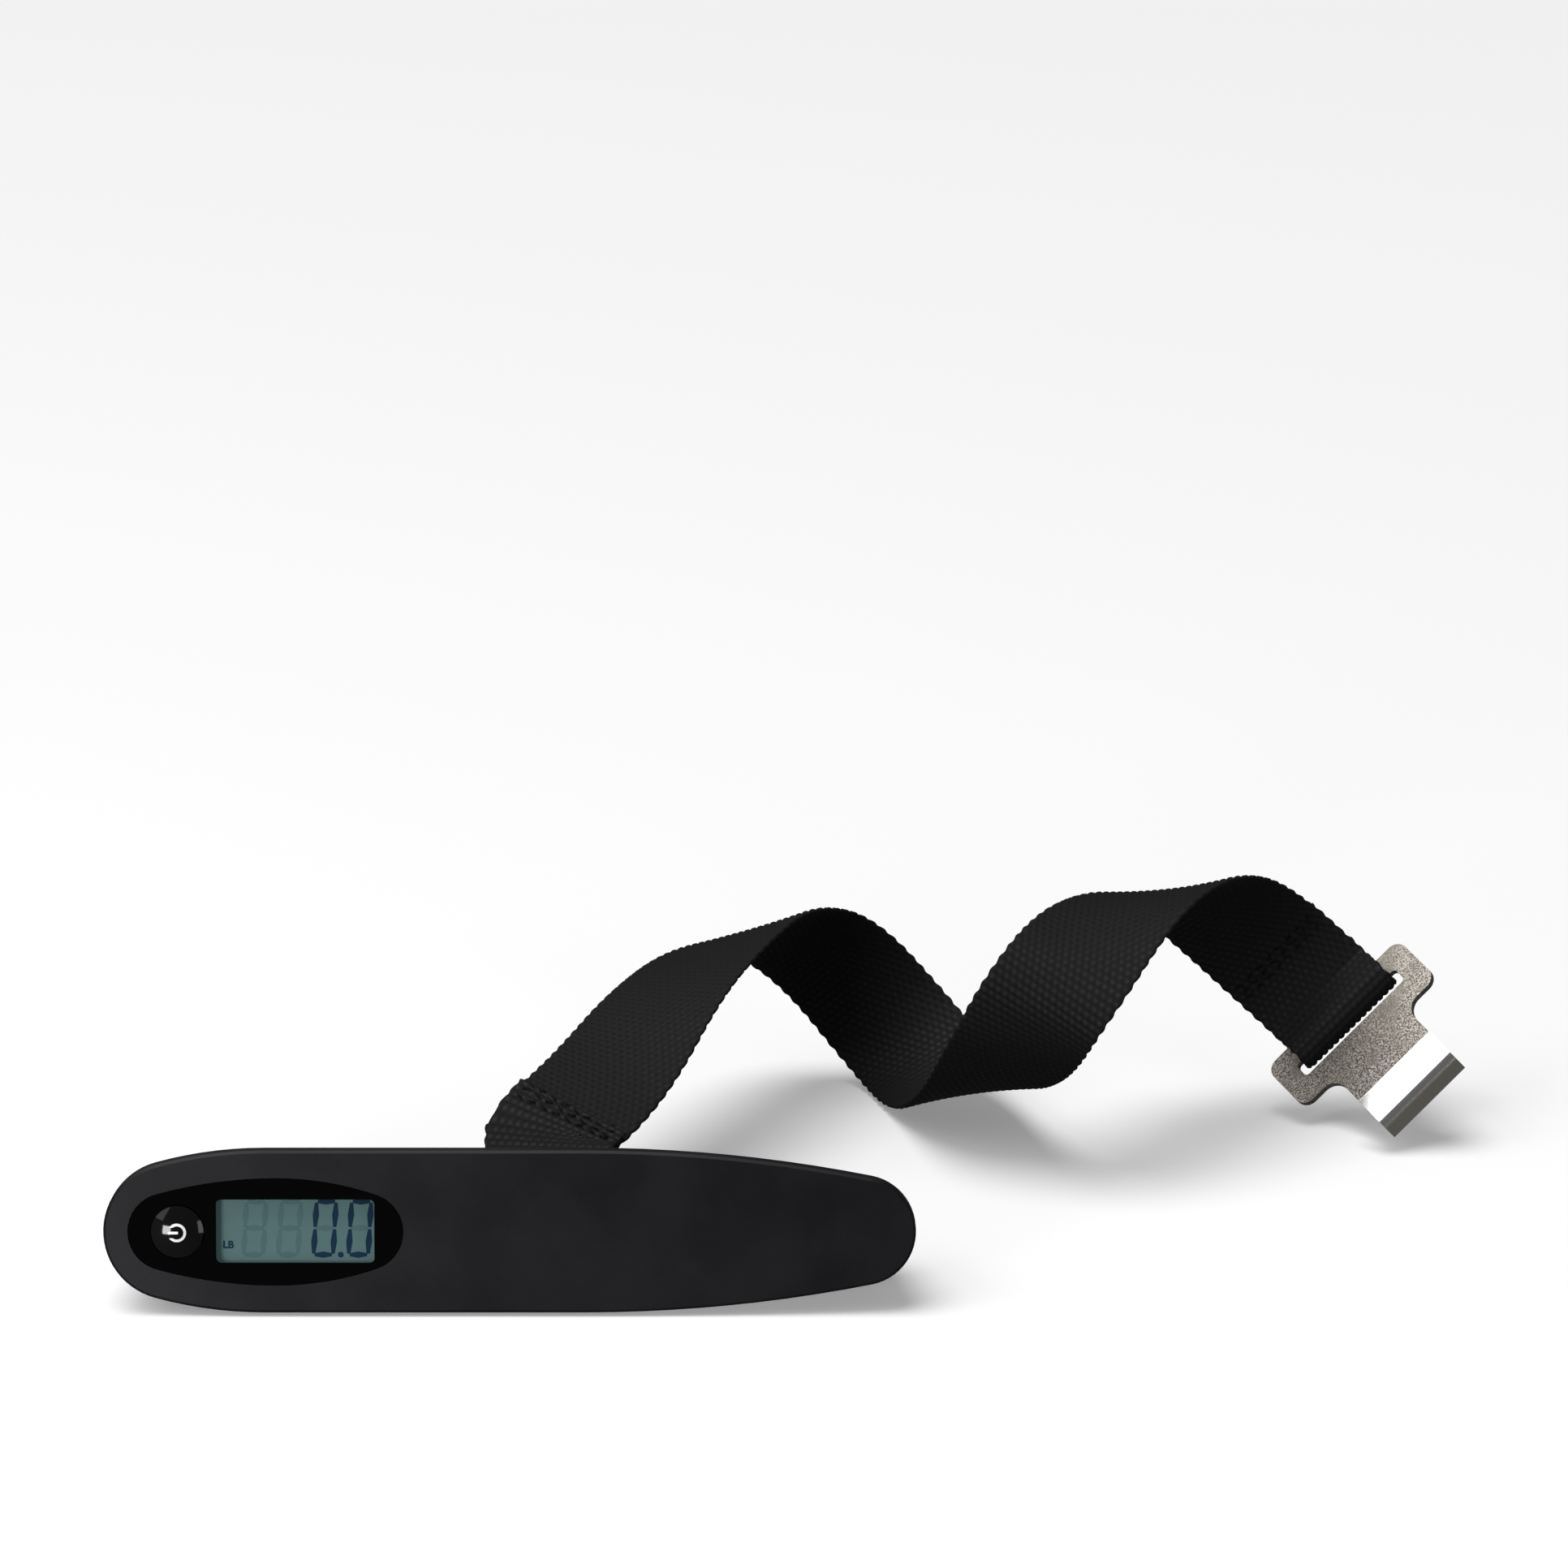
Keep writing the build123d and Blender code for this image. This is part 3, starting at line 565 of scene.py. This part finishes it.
# ---------------------------------------------------------------- mesh helpers
def nothing_selected() -> None:
    """Deselects every object."""
    bpy.ops.object.select_all(action="DESELECT")


def settle(piece: bpy.types.Object, place: Optional[Matrix] = None) -> None:
    """Puts a piece's place into its mesh and leaves its object at the origin.

    Args:
        piece: the piece.
        place: a further placement, such as the leaning case's.
    """
    bpy.context.view_layer.update()
    world = piece.matrix_world.copy()
    piece.data.transform(place @ world if place else world)
    piece.matrix_world = Matrix.Identity(4)


def join_all(pieces: Sequence[bpy.types.Object], name: str) -> bpy.types.Object:
    """Joins pieces into one.

    Args:
        pieces: the pieces.
        name: the joined piece's name.

    Returns:
        The joined piece.
    """
    nothing_selected()
    for piece in pieces:
        piece.select_set(True)
    bpy.context.view_layer.objects.active = pieces[0]
    if len(pieces) > 1:
        bpy.ops.object.join()
    pieces[0].name = name
    return pieces[0]


def recalculate(piece: bpy.types.Object) -> None:
    """Turns every face of a closed piece outwards."""
    nothing_selected()
    piece.select_set(True)
    bpy.context.view_layer.objects.active = piece
    bpy.ops.object.mode_set(mode="EDIT")
    bpy.ops.mesh.select_all(action="SELECT")
    bpy.ops.mesh.normals_make_consistent(inside=False)
    bpy.ops.object.mode_set(mode="OBJECT")


def curve_points(points: Sequence[Vector], steps: int) -> list[Vector]:
    """Points along a smooth NURBS curve.

    Args:
        points: its control points.
        steps: points to each of its spans.

    Returns:
        The points in order.
    """
    data = bpy.data.curves.new("route", "CURVE")
    data.dimensions = "3D"
    spline = data.splines.new("NURBS")
    spline.points.add(len(points) - 1)
    for control, point in zip(spline.points, points):
        control.co = (*point, 1.0)
    spline.order_u = 3
    spline.use_endpoint_u = True
    data.resolution_u = steps
    holder = bpy.data.objects.new("route", data)
    bpy.context.scene.collection.objects.link(holder)
    bpy.context.view_layer.update()
    mesh = bpy.data.meshes.new_from_object(holder)
    found = [vertex.co.copy() for vertex in mesh.vertices]
    bpy.data.meshes.remove(mesh)
    bpy.data.objects.remove(holder)
    bpy.data.curves.remove(data)
    return found


# ---------------------------------------------------------------- webbing
@dataclass
class Station:
    """A place on the webbing: its middle, its run, the way across it and its upper side."""

    middle: Vector
    along: Vector
    across: Vector
    distance: float

    def upper(self) -> Vector:
        """The way out of its upper face."""
        return self.along.cross(self.across).normalized()


@dataclass
class Run:
    """A run of webbing along a smooth line, with the width's direction carried along it."""

    points: Sequence[Vector]
    widths: Sequence[Vector]
    spacing: float
    steps: int = 16
    edge_mm: float = 10.0

    def stations(self) -> list[Station]:
        """Even stations along the run.

        Returns:
            The stations, from the first control point to the last.
        """
        middles = curve_points(self.points, self.steps)
        beside = [p + w * self.edge_mm * MM for p, w in zip(self.points, self.widths)]
        edges = curve_points(beside, self.steps)
        gone = [0.0]
        for before, after in zip(middles, middles[1:]):
            gone.append(gone[-1] + (after - before).length)
        count = max(2, round(gone[-1] / self.spacing))
        found, i = [], 0
        for k in range(count + 1):
            distance = gone[-1] * k / count
            while i < len(gone) - 2 and gone[i + 1] < distance:
                i += 1
            share = (distance - gone[i]) / max(gone[i + 1] - gone[i], 1e-9)
            middle = middles[i].lerp(middles[i + 1], share)
            edge = edges[i].lerp(edges[i + 1], share)
            low, high = max(i - 2, 0), min(i + 3, len(middles) - 1)
            along = (middles[high] - middles[low]).normalized()
            width = edge - middle
            across = (width - along * width.dot(along)).normalized()
            found.append(Station(middle, along, across, distance))
        return found


@dataclass
class Webbing:
    """Flat woven webbing with raised floats and a scalloped selvedge.

    The selvedge is a share of the width, and the lowest is the share of the height that is left
    at the foot of a float and at the webbing's edge.
    """

    width: float = 25.0 * MM
    thick: float = 1.4 * MM
    floats: int = 16
    row: float = 1.45 * MM
    relief: float = 0.62 * MM
    scallop: float = 0.17 * MM
    selvedge: float = 0.03
    lowest: float = 0.45
    steps_across: int = 4
    steps_along: int = 3

    def spacing(self) -> float:
        """Distance between stations."""
        return self.row / self.steps_along

    def height(self, column: int, row_step: int) -> float:
        """Height of the weave over its hollows.

        Args:
            column: the vertex's number across the webbing.
            row_step: the station's number.

        Returns:
            Metres above the hollow.
        """
        row = row_step // self.steps_along
        shift = self.steps_across / 2 if row % 2 else 0.0
        bow = abs(sin(pi * (column + shift) / self.steps_across)) ** 0.5
        rib = abs(sin(pi * (row_step % self.steps_along + 0.5) / self.steps_along)) ** 1.1
        return self.relief * rib * self.rounded(bow)

    def rounded(self, share: float) -> float:
        """A share of the height that never falls under the lowest."""
        return self.lowest + (1.0 - self.lowest) * share

    def weave(self, name: str, stations: Sequence[Station],
              material: bpy.types.Material) -> bpy.types.Object:
        """Builds a closed strip of webbing over stations.

        Args:
            name: the piece's name.
            stations: its stations.
            material: its cloth.

        Returns:
            The piece.
        """
        columns = self.floats * self.steps_across
        corners: list[Vector] = []
        flat: list[tuple[float, float]] = []
        for k, station in enumerate(stations):
            upper = station.upper()
            widen = self.scallop * cos(pi * k / self.steps_along)
            for side in (1, -1):
                for column in range(columns + 1):
                    share = column / columns - 0.5
                    place = share * (self.width - 2 * self.scallop)
                    edge = 1.0 - max(0.0, abs(share) - (0.5 - self.selvedge)) / self.selvedge
                    if column in (0, columns):
                        place += widen * (1 if share > 0 else -1)
                    lift = self.thick / 2 - self.relief + self.height(column, k)
                    lift *= self.rounded(max(0.0, edge) ** 0.5)
                    corners.append(station.middle + station.across * place + upper * (side * lift))
                    flat.append((share + 0.5, station.distance / self.width))
        return self._close(name, corners, flat, columns, len(stations), material)

    def _close(self, name: str, corners: Sequence[Vector], flat: Sequence[tuple[float, float]],
               columns: int, count: int, material: bpy.types.Material) -> bpy.types.Object:
        """Joins the strip's vertices into closed faces and lays out its UV map."""
        ring = 2 * (columns + 1)
        faces: list[tuple[int, int, int, int]] = []
        for k in range(count - 1):
            a, b = k * ring, (k + 1) * ring
            low_a, low_b = a + columns + 1, b + columns + 1
            for c in range(columns):
                faces.append((a + c, a + c + 1, b + c + 1, b + c))
                faces.append((low_a + c, low_b + c, low_b + c + 1, low_a + c + 1))
            faces.append((a, b, low_b, low_a))
            faces.append((a + columns, low_a + columns, low_b + columns, b + columns))
        for start, turned in ((0, False), ((count - 1) * ring, True)):
            for c in range(columns):
                low = start + columns + 1
                face = (start + c, low + c, low + c + 1, start + c + 1)
                faces.append(tuple(reversed(face)) if turned else face)
        mesh = bpy.data.meshes.new(name)
        mesh.from_pydata(corners, [], faces)
        layer = mesh.uv_layers.new(name="cloth")
        for loop in mesh.loops:
            layer.data[loop.index].uv = flat[loop.vertex_index]
        mesh.materials.append(material)
        mesh.shade_smooth()
        piece = bpy.data.objects.new(name, mesh)
        bpy.context.scene.collection.objects.link(piece)
        recalculate(piece)
        return piece


@dataclass
class Stitching:
    """Rows of thread sewn through the doubled webbing, shown on both faces."""

    rows: int = 3
    stitches: int = 8
    row_gap: float = 1.45 * MM
    length: float = 1.7 * MM
    thread_r: float = 0.19 * MM
    reach: float = 11.0 * MM
    slant: float = 0.35
    sunk: float = 0.02 * MM
    rounding: float = 0.6
    weld: float = 0.01 * MM

    def sew(self, name: str, stations: Sequence[Station], distance: float, webbing: Webbing,
            material: bpy.types.Material, doubled: float) -> bpy.types.Object:
        """Lays the stitches.

        Args:
            name: the piece's name.
            stations: the webbing's stations.
            distance: the middle row's distance along the webbing.
            webbing: the webbing it goes through.
            material: the thread.
            doubled: how much further down the lower face is.

        Returns:
            The piece.
        """
        nothing_selected()
        bpy.ops.mesh.primitive_cylinder_add(vertices=8, radius=self.thread_r, depth=self.length)
        first = bpy.context.object
        bpy.ops.object.mode_set(mode="EDIT")
        bpy.ops.mesh.select_all(action="SELECT")
        bpy.ops.mesh.bevel(offset=self.thread_r * self.rounding, segments=2, affect="EDGES")
        bpy.ops.mesh.select_all(action="SELECT")
        bpy.ops.mesh.remove_doubles(threshold=self.weld)
        bpy.ops.object.mode_set(mode="OBJECT")
        pieces = []
        for row in range(self.rows):
            target = distance + (row - (self.rows - 1) / 2) * self.row_gap
            station = min(stations, key=lambda each: abs(each.distance - target))
            upper = station.upper()
            for number in range(self.stitches):
                offset = self.reach * (2 * (number + 0.5) / self.stitches - 1)
                slant = self.slant if (number + row) % 2 else -self.slant
                way = (station.across + station.along * slant).normalized()
                for lift in (webbing.thick / 2 - self.sunk, -webbing.thick / 2 - doubled):
                    middle = station.middle + station.across * offset + upper * lift
                    turn = Matrix((way.cross(upper), upper, way)).transposed().to_4x4()
                    pieces.append(self._copy(first, Matrix.Translation(middle) @ turn))
        bpy.data.objects.remove(first)
        piece = join_all(pieces, name)
        piece.data.materials.clear()
        piece.data.materials.append(material)
        piece.data.shade_smooth()
        return piece

    def _copy(self, first: bpy.types.Object, place: Matrix) -> bpy.types.Object:
        """A copy of a stitch with its own mesh, put in its place."""
        copy = bpy.data.objects.new("stitch", first.data.copy())
        bpy.context.scene.collection.objects.link(copy)
        copy.data.transform(place)
        return copy


@dataclass
class StrapAssembly:
    """The webbing, its sewn loops round the ring and the hook, and their stitching."""

    webbing: Webbing = field(default_factory=Webbing)
    ring_bar: Vector = field(default_factory=lambda: Vector((6.3, 18.994, 16.777)) * MM)
    hook_bar: Vector = field(default_factory=lambda: Vector((162.409, 91.674, 20.241)) * MM)
    hook_across: Vector = field(default_factory=lambda: Vector((0.709079, 0.189753, 0.679118)))
    ring_loop_r: float = 2.45 * MM
    hook_loop_r: float = 3.3 * MM
    ring_sewn: float = 8.0 * MM
    hook_sewn: float = 13.5 * MM
    layer: float = 1.45 * MM
    tail: float = 2.4 * MM
    under_shares: tuple[float, ...] = (0.6, 0.25)
    turns: tuple[float, ...] = (-75, -115, -150, -180, -210, -245, -285)
    slack: float = 1.06
    lead: tuple[tuple[float, float], ...] = ((1.5 * MM, 0.9 * MM), (6.0 * MM, 0.25 * MM))

    def route(self) -> tuple[list[Vector], list[Vector]]:
        """The webbing's control points and the way across it at each.

        Returns:
            The points and the unit vectors.
        """
        points = [Vector((x * MM, FACE_MIDDLE.y + y * MM, z * MM)) for x, y, z, _, _ in STRAP_ROUTE]
        widths = []
        for *_, heading, rise in STRAP_ROUTE:
            turn, lift = radians(heading), radians(rise)
            widths.append(Vector((cos(turn) * cos(lift), sin(turn) * cos(lift), sin(lift))))
        return points, widths

    def loop(self, name: str, stations: Sequence[Station], bar: Vector, across: Vector,
             radius: float, sewn: float, material: bpy.types.Material) -> bpy.types.Object:
        """Webbing that goes back under the strap from its stitching, round a bar and up again.

        Args:
            name: the piece's name.
            stations: the strap's stations, the end at this bar first.
            bar: the middle of the bar.
            across: the way along the bar.
            radius: from the bar's middle to the webbing's.
            sewn: distance from the end to the stitching.
            material: its cloth.

        Returns:
            The piece.
        """
        end = stations[0]
        points, widths = [], []
        for distance in (sewn + self.tail, *(sewn * share for share in self.under_shares)):
            station = min(stations, key=lambda each: abs(each.distance - distance))
            points.append(station.middle - station.upper() * self.layer)
            widths.append(station.across)
        out = (end.middle - bar) - across * (end.middle - bar).dot(across)
        out.normalize()
        up = end.upper()
        up = (up - across * up.dot(across) - out * up.dot(out)).normalized()
        reach = radius * self.slack
        for turn in map(radians, self.turns):
            points.append(bar + out * (reach * cos(turn)) + up * (reach * sin(turn)))
            widths.append(across)
        for beyond, lift in self.lead:
            points.append(end.middle + out * beyond + up * lift)
            widths.append(across)
        aligned = [w if w.dot(across) > 0 else -w for w in widths]
        run = Run(points, aligned, self.webbing.spacing())
        return self.webbing.weave(name, run.stations(), material)

    def build(self) -> None:
        rows = self.webbing.width / self.webbing.row
        cloth = Weave("webbing_black", (0.0019, 0.0018, 0.0019), rows).material()
        thread = Weave("thread_black", (0.005, 0.005, 0.0055), 200.0, 40.0).material()
        points, widths = self.route()
        stations = Run(points, widths, self.webbing.spacing()).stations()
        strap = self.webbing.weave("woven_strap", stations, cloth)
        length = stations[-1].distance
        backwards = [Station(s.middle, -s.along, -s.across, length - s.distance)
                     for s in reversed(stations)]
        ring_loop = self.loop("sewn_loop_ring", stations, self.ring_bar, Vector((1, 0, 0)),
                              self.ring_loop_r, self.ring_sewn, cloth)
        hook_loop = self.loop("sewn_loop_hook", backwards, self.hook_bar, -self.hook_across,
                              self.hook_loop_r, self.hook_sewn, cloth)
        stitching = Stitching()
        ring_stitches = stitching.sew("stitches_ring", stations, self.ring_sewn, self.webbing,
                                      thread, self.layer)
        hook_stitches = stitching.sew("stitches_hook", backwards, self.hook_sewn, self.webbing,
                                      thread, self.layer)
        replaced = {strap: "strap", ring_loop: "ring_loop", hook_loop: "hook_loop",
                    ring_stitches: "ring_stitching", hook_stitches: "hook_stitching"}
        for piece, node in replaced.items():
            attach(piece, "strap")
            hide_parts(node)
            "thread_black" if "stitch" in node else "webbing_black"
            log.info("%s: %d faces", piece.name, len(piece.data.polygons))
        middles = [s.middle for s in stations[::6]] + [stations[-1].middle]


# ---------------------------------------------------------------- display
class Bar(Enum):
    """The bars of a seven-bar digit: middle in half sizes, and whether it stands up."""

    TOP = (0.0, 1.0, False)
    UPPER_LEFT = (-1.0, 0.5, True)
    UPPER_RIGHT = (1.0, 0.5, True)
    MIDDLE = (0.0, 0.0, False)
    LOWER_LEFT = (-1.0, -0.5, True)
    LOWER_RIGHT = (1.0, -0.5, True)
    BOTTOM = (0.0, -1.0, False)


@dataclass
class Display:
    """The liquid-crystal digits just in front of the display's glass.

    Their frame has its origin in the face's middle, with X along the case and Z up the face.
    """

    half_width: float = 1.82 * MM
    half_height: float = 5.02 * MM
    stroke: float = 1.04 * MM
    gap: float = 0.13 * MM
    slant: float = 0.063
    depth: float = 2.56 * MM
    film: float = 0.03 * MM
    middle_z: float = 0.31 * MM
    last_x: float = -28.06 * MM
    pitch: float = 6.55 * MM
    unit_place: tuple[float, float] = (-53.7 * MM, -3.45 * MM)
    unit_height: float = 1.95 * MM
    unit_weight: float = 0.06 * MM
    fullness: float = 1.15
    point_r: float = 0.55 * MM
    point_shift: float = 0.32 * MM
    ghost_digits: int = 2

    def bar(self, bar: Bar, middle_x: float) -> bpy.types.Object:
        """One bar of a digit: a six-sided prism drawn out lengthways.

        Args:
            bar: which bar.
            middle_x: the digit's middle.

        Returns:
            The bar, in the case's frame.
        """
        across, up, stands = bar.value
        span = self.half_height / 2 if stands else self.half_width
        draw = span - self.stroke / 2 - self.gap
        nothing_selected()
        bpy.ops.mesh.primitive_cylinder_add(vertices=6, radius=self.stroke / 2, depth=self.film,
                                            rotation=(radians(90), 0, 0))
        piece = bpy.context.object
        settle(piece)
        for vertex in piece.data.vertices:
            along = vertex.co.x if abs(vertex.co.x) > abs(vertex.co.z) * 0.1 else 0.0
            x, z = vertex.co.z * self.fullness, vertex.co.x
            z += draw * (1 if along > 0 else -1 if along < 0 else 0)
            vertex.co.x, vertex.co.z = (x, z) if stands else (z, x)
        rise = up * self.half_height
        for vertex in piece.data.vertices:
            z = vertex.co.z + rise
            vertex.co = (vertex.co.x + across * self.half_width + middle_x + z * self.slant,
                         self.depth + vertex.co.y, z + self.middle_z)
        return piece

    def digit(self, middle_x: float, bars: Sequence[Bar]) -> list[bpy.types.Object]:
        """The bars of one digit."""
        return [self.bar(bar, middle_x) for bar in bars]

    def point(self) -> bpy.types.Object:
        """The decimal point: a small round dot."""
        nothing_selected()
        bpy.ops.mesh.primitive_cylinder_add(vertices=16, radius=self.point_r, depth=self.film,
                                            rotation=(radians(90), radians(11.25), 0))
        piece = bpy.context.object
        piece.location = (self.last_x - self.pitch / 2 - self.point_shift, self.depth,
                          self.middle_z - self.half_height)
        settle(piece)
        return piece

    def unit(self) -> bpy.types.Object:
        """The unit's two small letters.

        Returns:
            The letters as a mesh, in the case's frame.
        """
        nothing_selected()
        bpy.ops.object.text_add(rotation=(radians(90), 0, 0))
        piece = bpy.context.object
        piece.data.body = "LB"
        piece.data.size = self.unit_height
        piece.data.extrude = self.film / 2
        piece.data.offset = self.unit_weight
        bpy.ops.object.convert(target="MESH")
        piece = bpy.context.object
        piece.location = (self.unit_place[0], self.depth, self.unit_place[1])
        settle(piece)
        return piece

    def build(self) -> None:
        """Builds the lit digits, the faint unlit ones and the unit."""
        zero = [bar for bar in Bar if bar is not Bar.MIDDLE]
        lit = self.digit(self.last_x, zero) + self.digit(self.last_x - self.pitch, zero)
        lit += [self.point(), self.unit()]
        faint = [self.bar(Bar.MIDDLE, self.last_x), self.bar(Bar.MIDDLE, self.last_x - self.pitch)]
        for place in range(2, 2 + self.ghost_digits):
            faint += self.digit(self.last_x - self.pitch * place, list(Bar))
        dark = Ink("segment_ink", (0.006, 0.028, 0.06), 0.96).material()
        pale = Ink("segment_ghost", (0.02, 0.10, 0.17), 0.08).material()
        for pieces, name, material in ((lit, "display_digits", dark),
                                       (faint, "display_unlit", pale)):
            piece = join_all(pieces, name)
            piece.data.transform(CASE_PLACE)
            piece.data.materials.clear()
            piece.data.materials.append(material)
            recalculate(piece)
            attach(piece, "case")
            log.info("%s: %d faces", name, len(piece.data.polygons))


# ---------------------------------------------------------------- studio
# Each soft box's name, place, the point it faces, its side and its power in watts.
SOFT_BOXES = (
    ("left_box", (-1.07, -0.74, 1.08), (-0.05, 0.0, 0.0), 0.95, 4.5),
    ("low_box", (-0.27, -0.45, 0.075), (-0.06, -0.02, 0.015), 0.14, 1.5),
    ("right_box", (0.62, -0.55, 0.16), (0.17, 0.07, 0.02), 0.35, 1.2),
    ("lip_box", (-1.1, -0.12, 1.12), (0.1, 0.0, 0.0), 0.7, 3.0),
)


@dataclass
class Studio:
    """The pale floor, the soft lights and the camera."""

    floor_half: float = 6.0
    camera_place: tuple[float, float, float] = (0.0512, -1.3400, 0.5334)
    camera_tilt: float = 72.0
    lens: float = 174.5
    sky: tuple[float, float, float, float] = (0.97, 0.98, 1.0, 1.0)
    sky_strength: float = 0.11
    floor_glow: float = 0.22

    def floor(self) -> None:
        """Lays a floor of fine pale card."""
        nothing_selected()
        bpy.ops.mesh.primitive_plane_add(size=2 * self.floor_half)
        piece = bpy.context.object
        piece.name = "floor"
        bpy.ops.object.mode_set(mode="EDIT")
        bpy.ops.mesh.subdivide(number_cuts=7)
        bpy.ops.object.mode_set(mode="OBJECT")
        shader = Shader("pale_card")
        fibre = shader.noise(400.0, 3.0)
        piece.data.materials.append(shader.set(
            Base_Color=shader.blend(fibre, (0.86, 0.86, 0.86), (0.875, 0.875, 0.875)),
            Roughness=0.95, Specular_IOR_Level=0.1, Emission_Color=(1.0, 1.0, 1.0),
            Emission_Strength=self.floor_glow))
        piece.visible_diffuse = False
        piece.visible_glossy = False

    def sun(self, name: str, way: Vector, strength: float, spread: float) -> None:
        """Adds a broad distant light.

        Args:
            name: its name.
            way: from the object to the light.
            strength: its irradiance.
            spread: its angular width in degrees.
        """
        data = bpy.data.lights.new(name, "SUN")
        data.energy = strength
        data.angle = radians(spread)
        lamp = bpy.data.objects.new(name, data)
        lamp.rotation_euler = way.to_track_quat("Z", "Y").to_euler()
        bpy.context.scene.collection.objects.link(lamp)

    def panel(self, name: str, place: Vector, aim: Vector, size: float, power: float) -> None:
        """Adds a square soft box.

        Args:
            name: its name.
            place: where it hangs.
            aim: the point it faces.
            size: its side.
            power: its power in watts.
        """
        data = bpy.data.lights.new(name, "AREA")
        data.size = size
        data.energy = power
        lamp = bpy.data.objects.new(name, data)
        lamp.location = place
        lamp.rotation_euler = (place - aim).to_track_quat("Z", "Y").to_euler()
        bpy.context.scene.collection.objects.link(lamp)

    def build(self) -> None:
        """Sets the stage."""
        self.floor()
        world = bpy.data.worlds.new("studio")
        world.use_nodes = True
        background = world.node_tree.nodes["Background"]
        background.inputs["Color"].default_value = self.sky
        background.inputs["Strength"].default_value = self.sky_strength
        bpy.context.scene.world = world
        bpy.context.scene.view_settings.view_transform = "Standard"
        self.sun("overhead", Vector((-0.22, -0.06, 1.0)), 1.9, 42.0)
        for name, place, aim, size, power in SOFT_BOXES:
            self.panel(name, Vector(place), Vector(aim), size, power)
        data = bpy.data.cameras.new("camera")
        data.lens = self.lens
        data.sensor_width = 36.0
        data.clip_end = 20.0
        camera = bpy.data.objects.new("camera", data)
        camera.location = self.camera_place
        camera.rotation_euler = (radians(self.camera_tilt), 0.0, 0.0)
        bpy.context.scene.collection.objects.link(camera)
        bpy.context.scene.camera = camera
        log.info("studio ready")


def main() -> None:
    """Builds everything in order."""
    logging.basicConfig(level=logging.INFO, format="%(message)s")
    Studio().build()
    StrapAssembly().build()
    Display().build()
    dress_nodes()


if __name__ == "__main__":
    main()
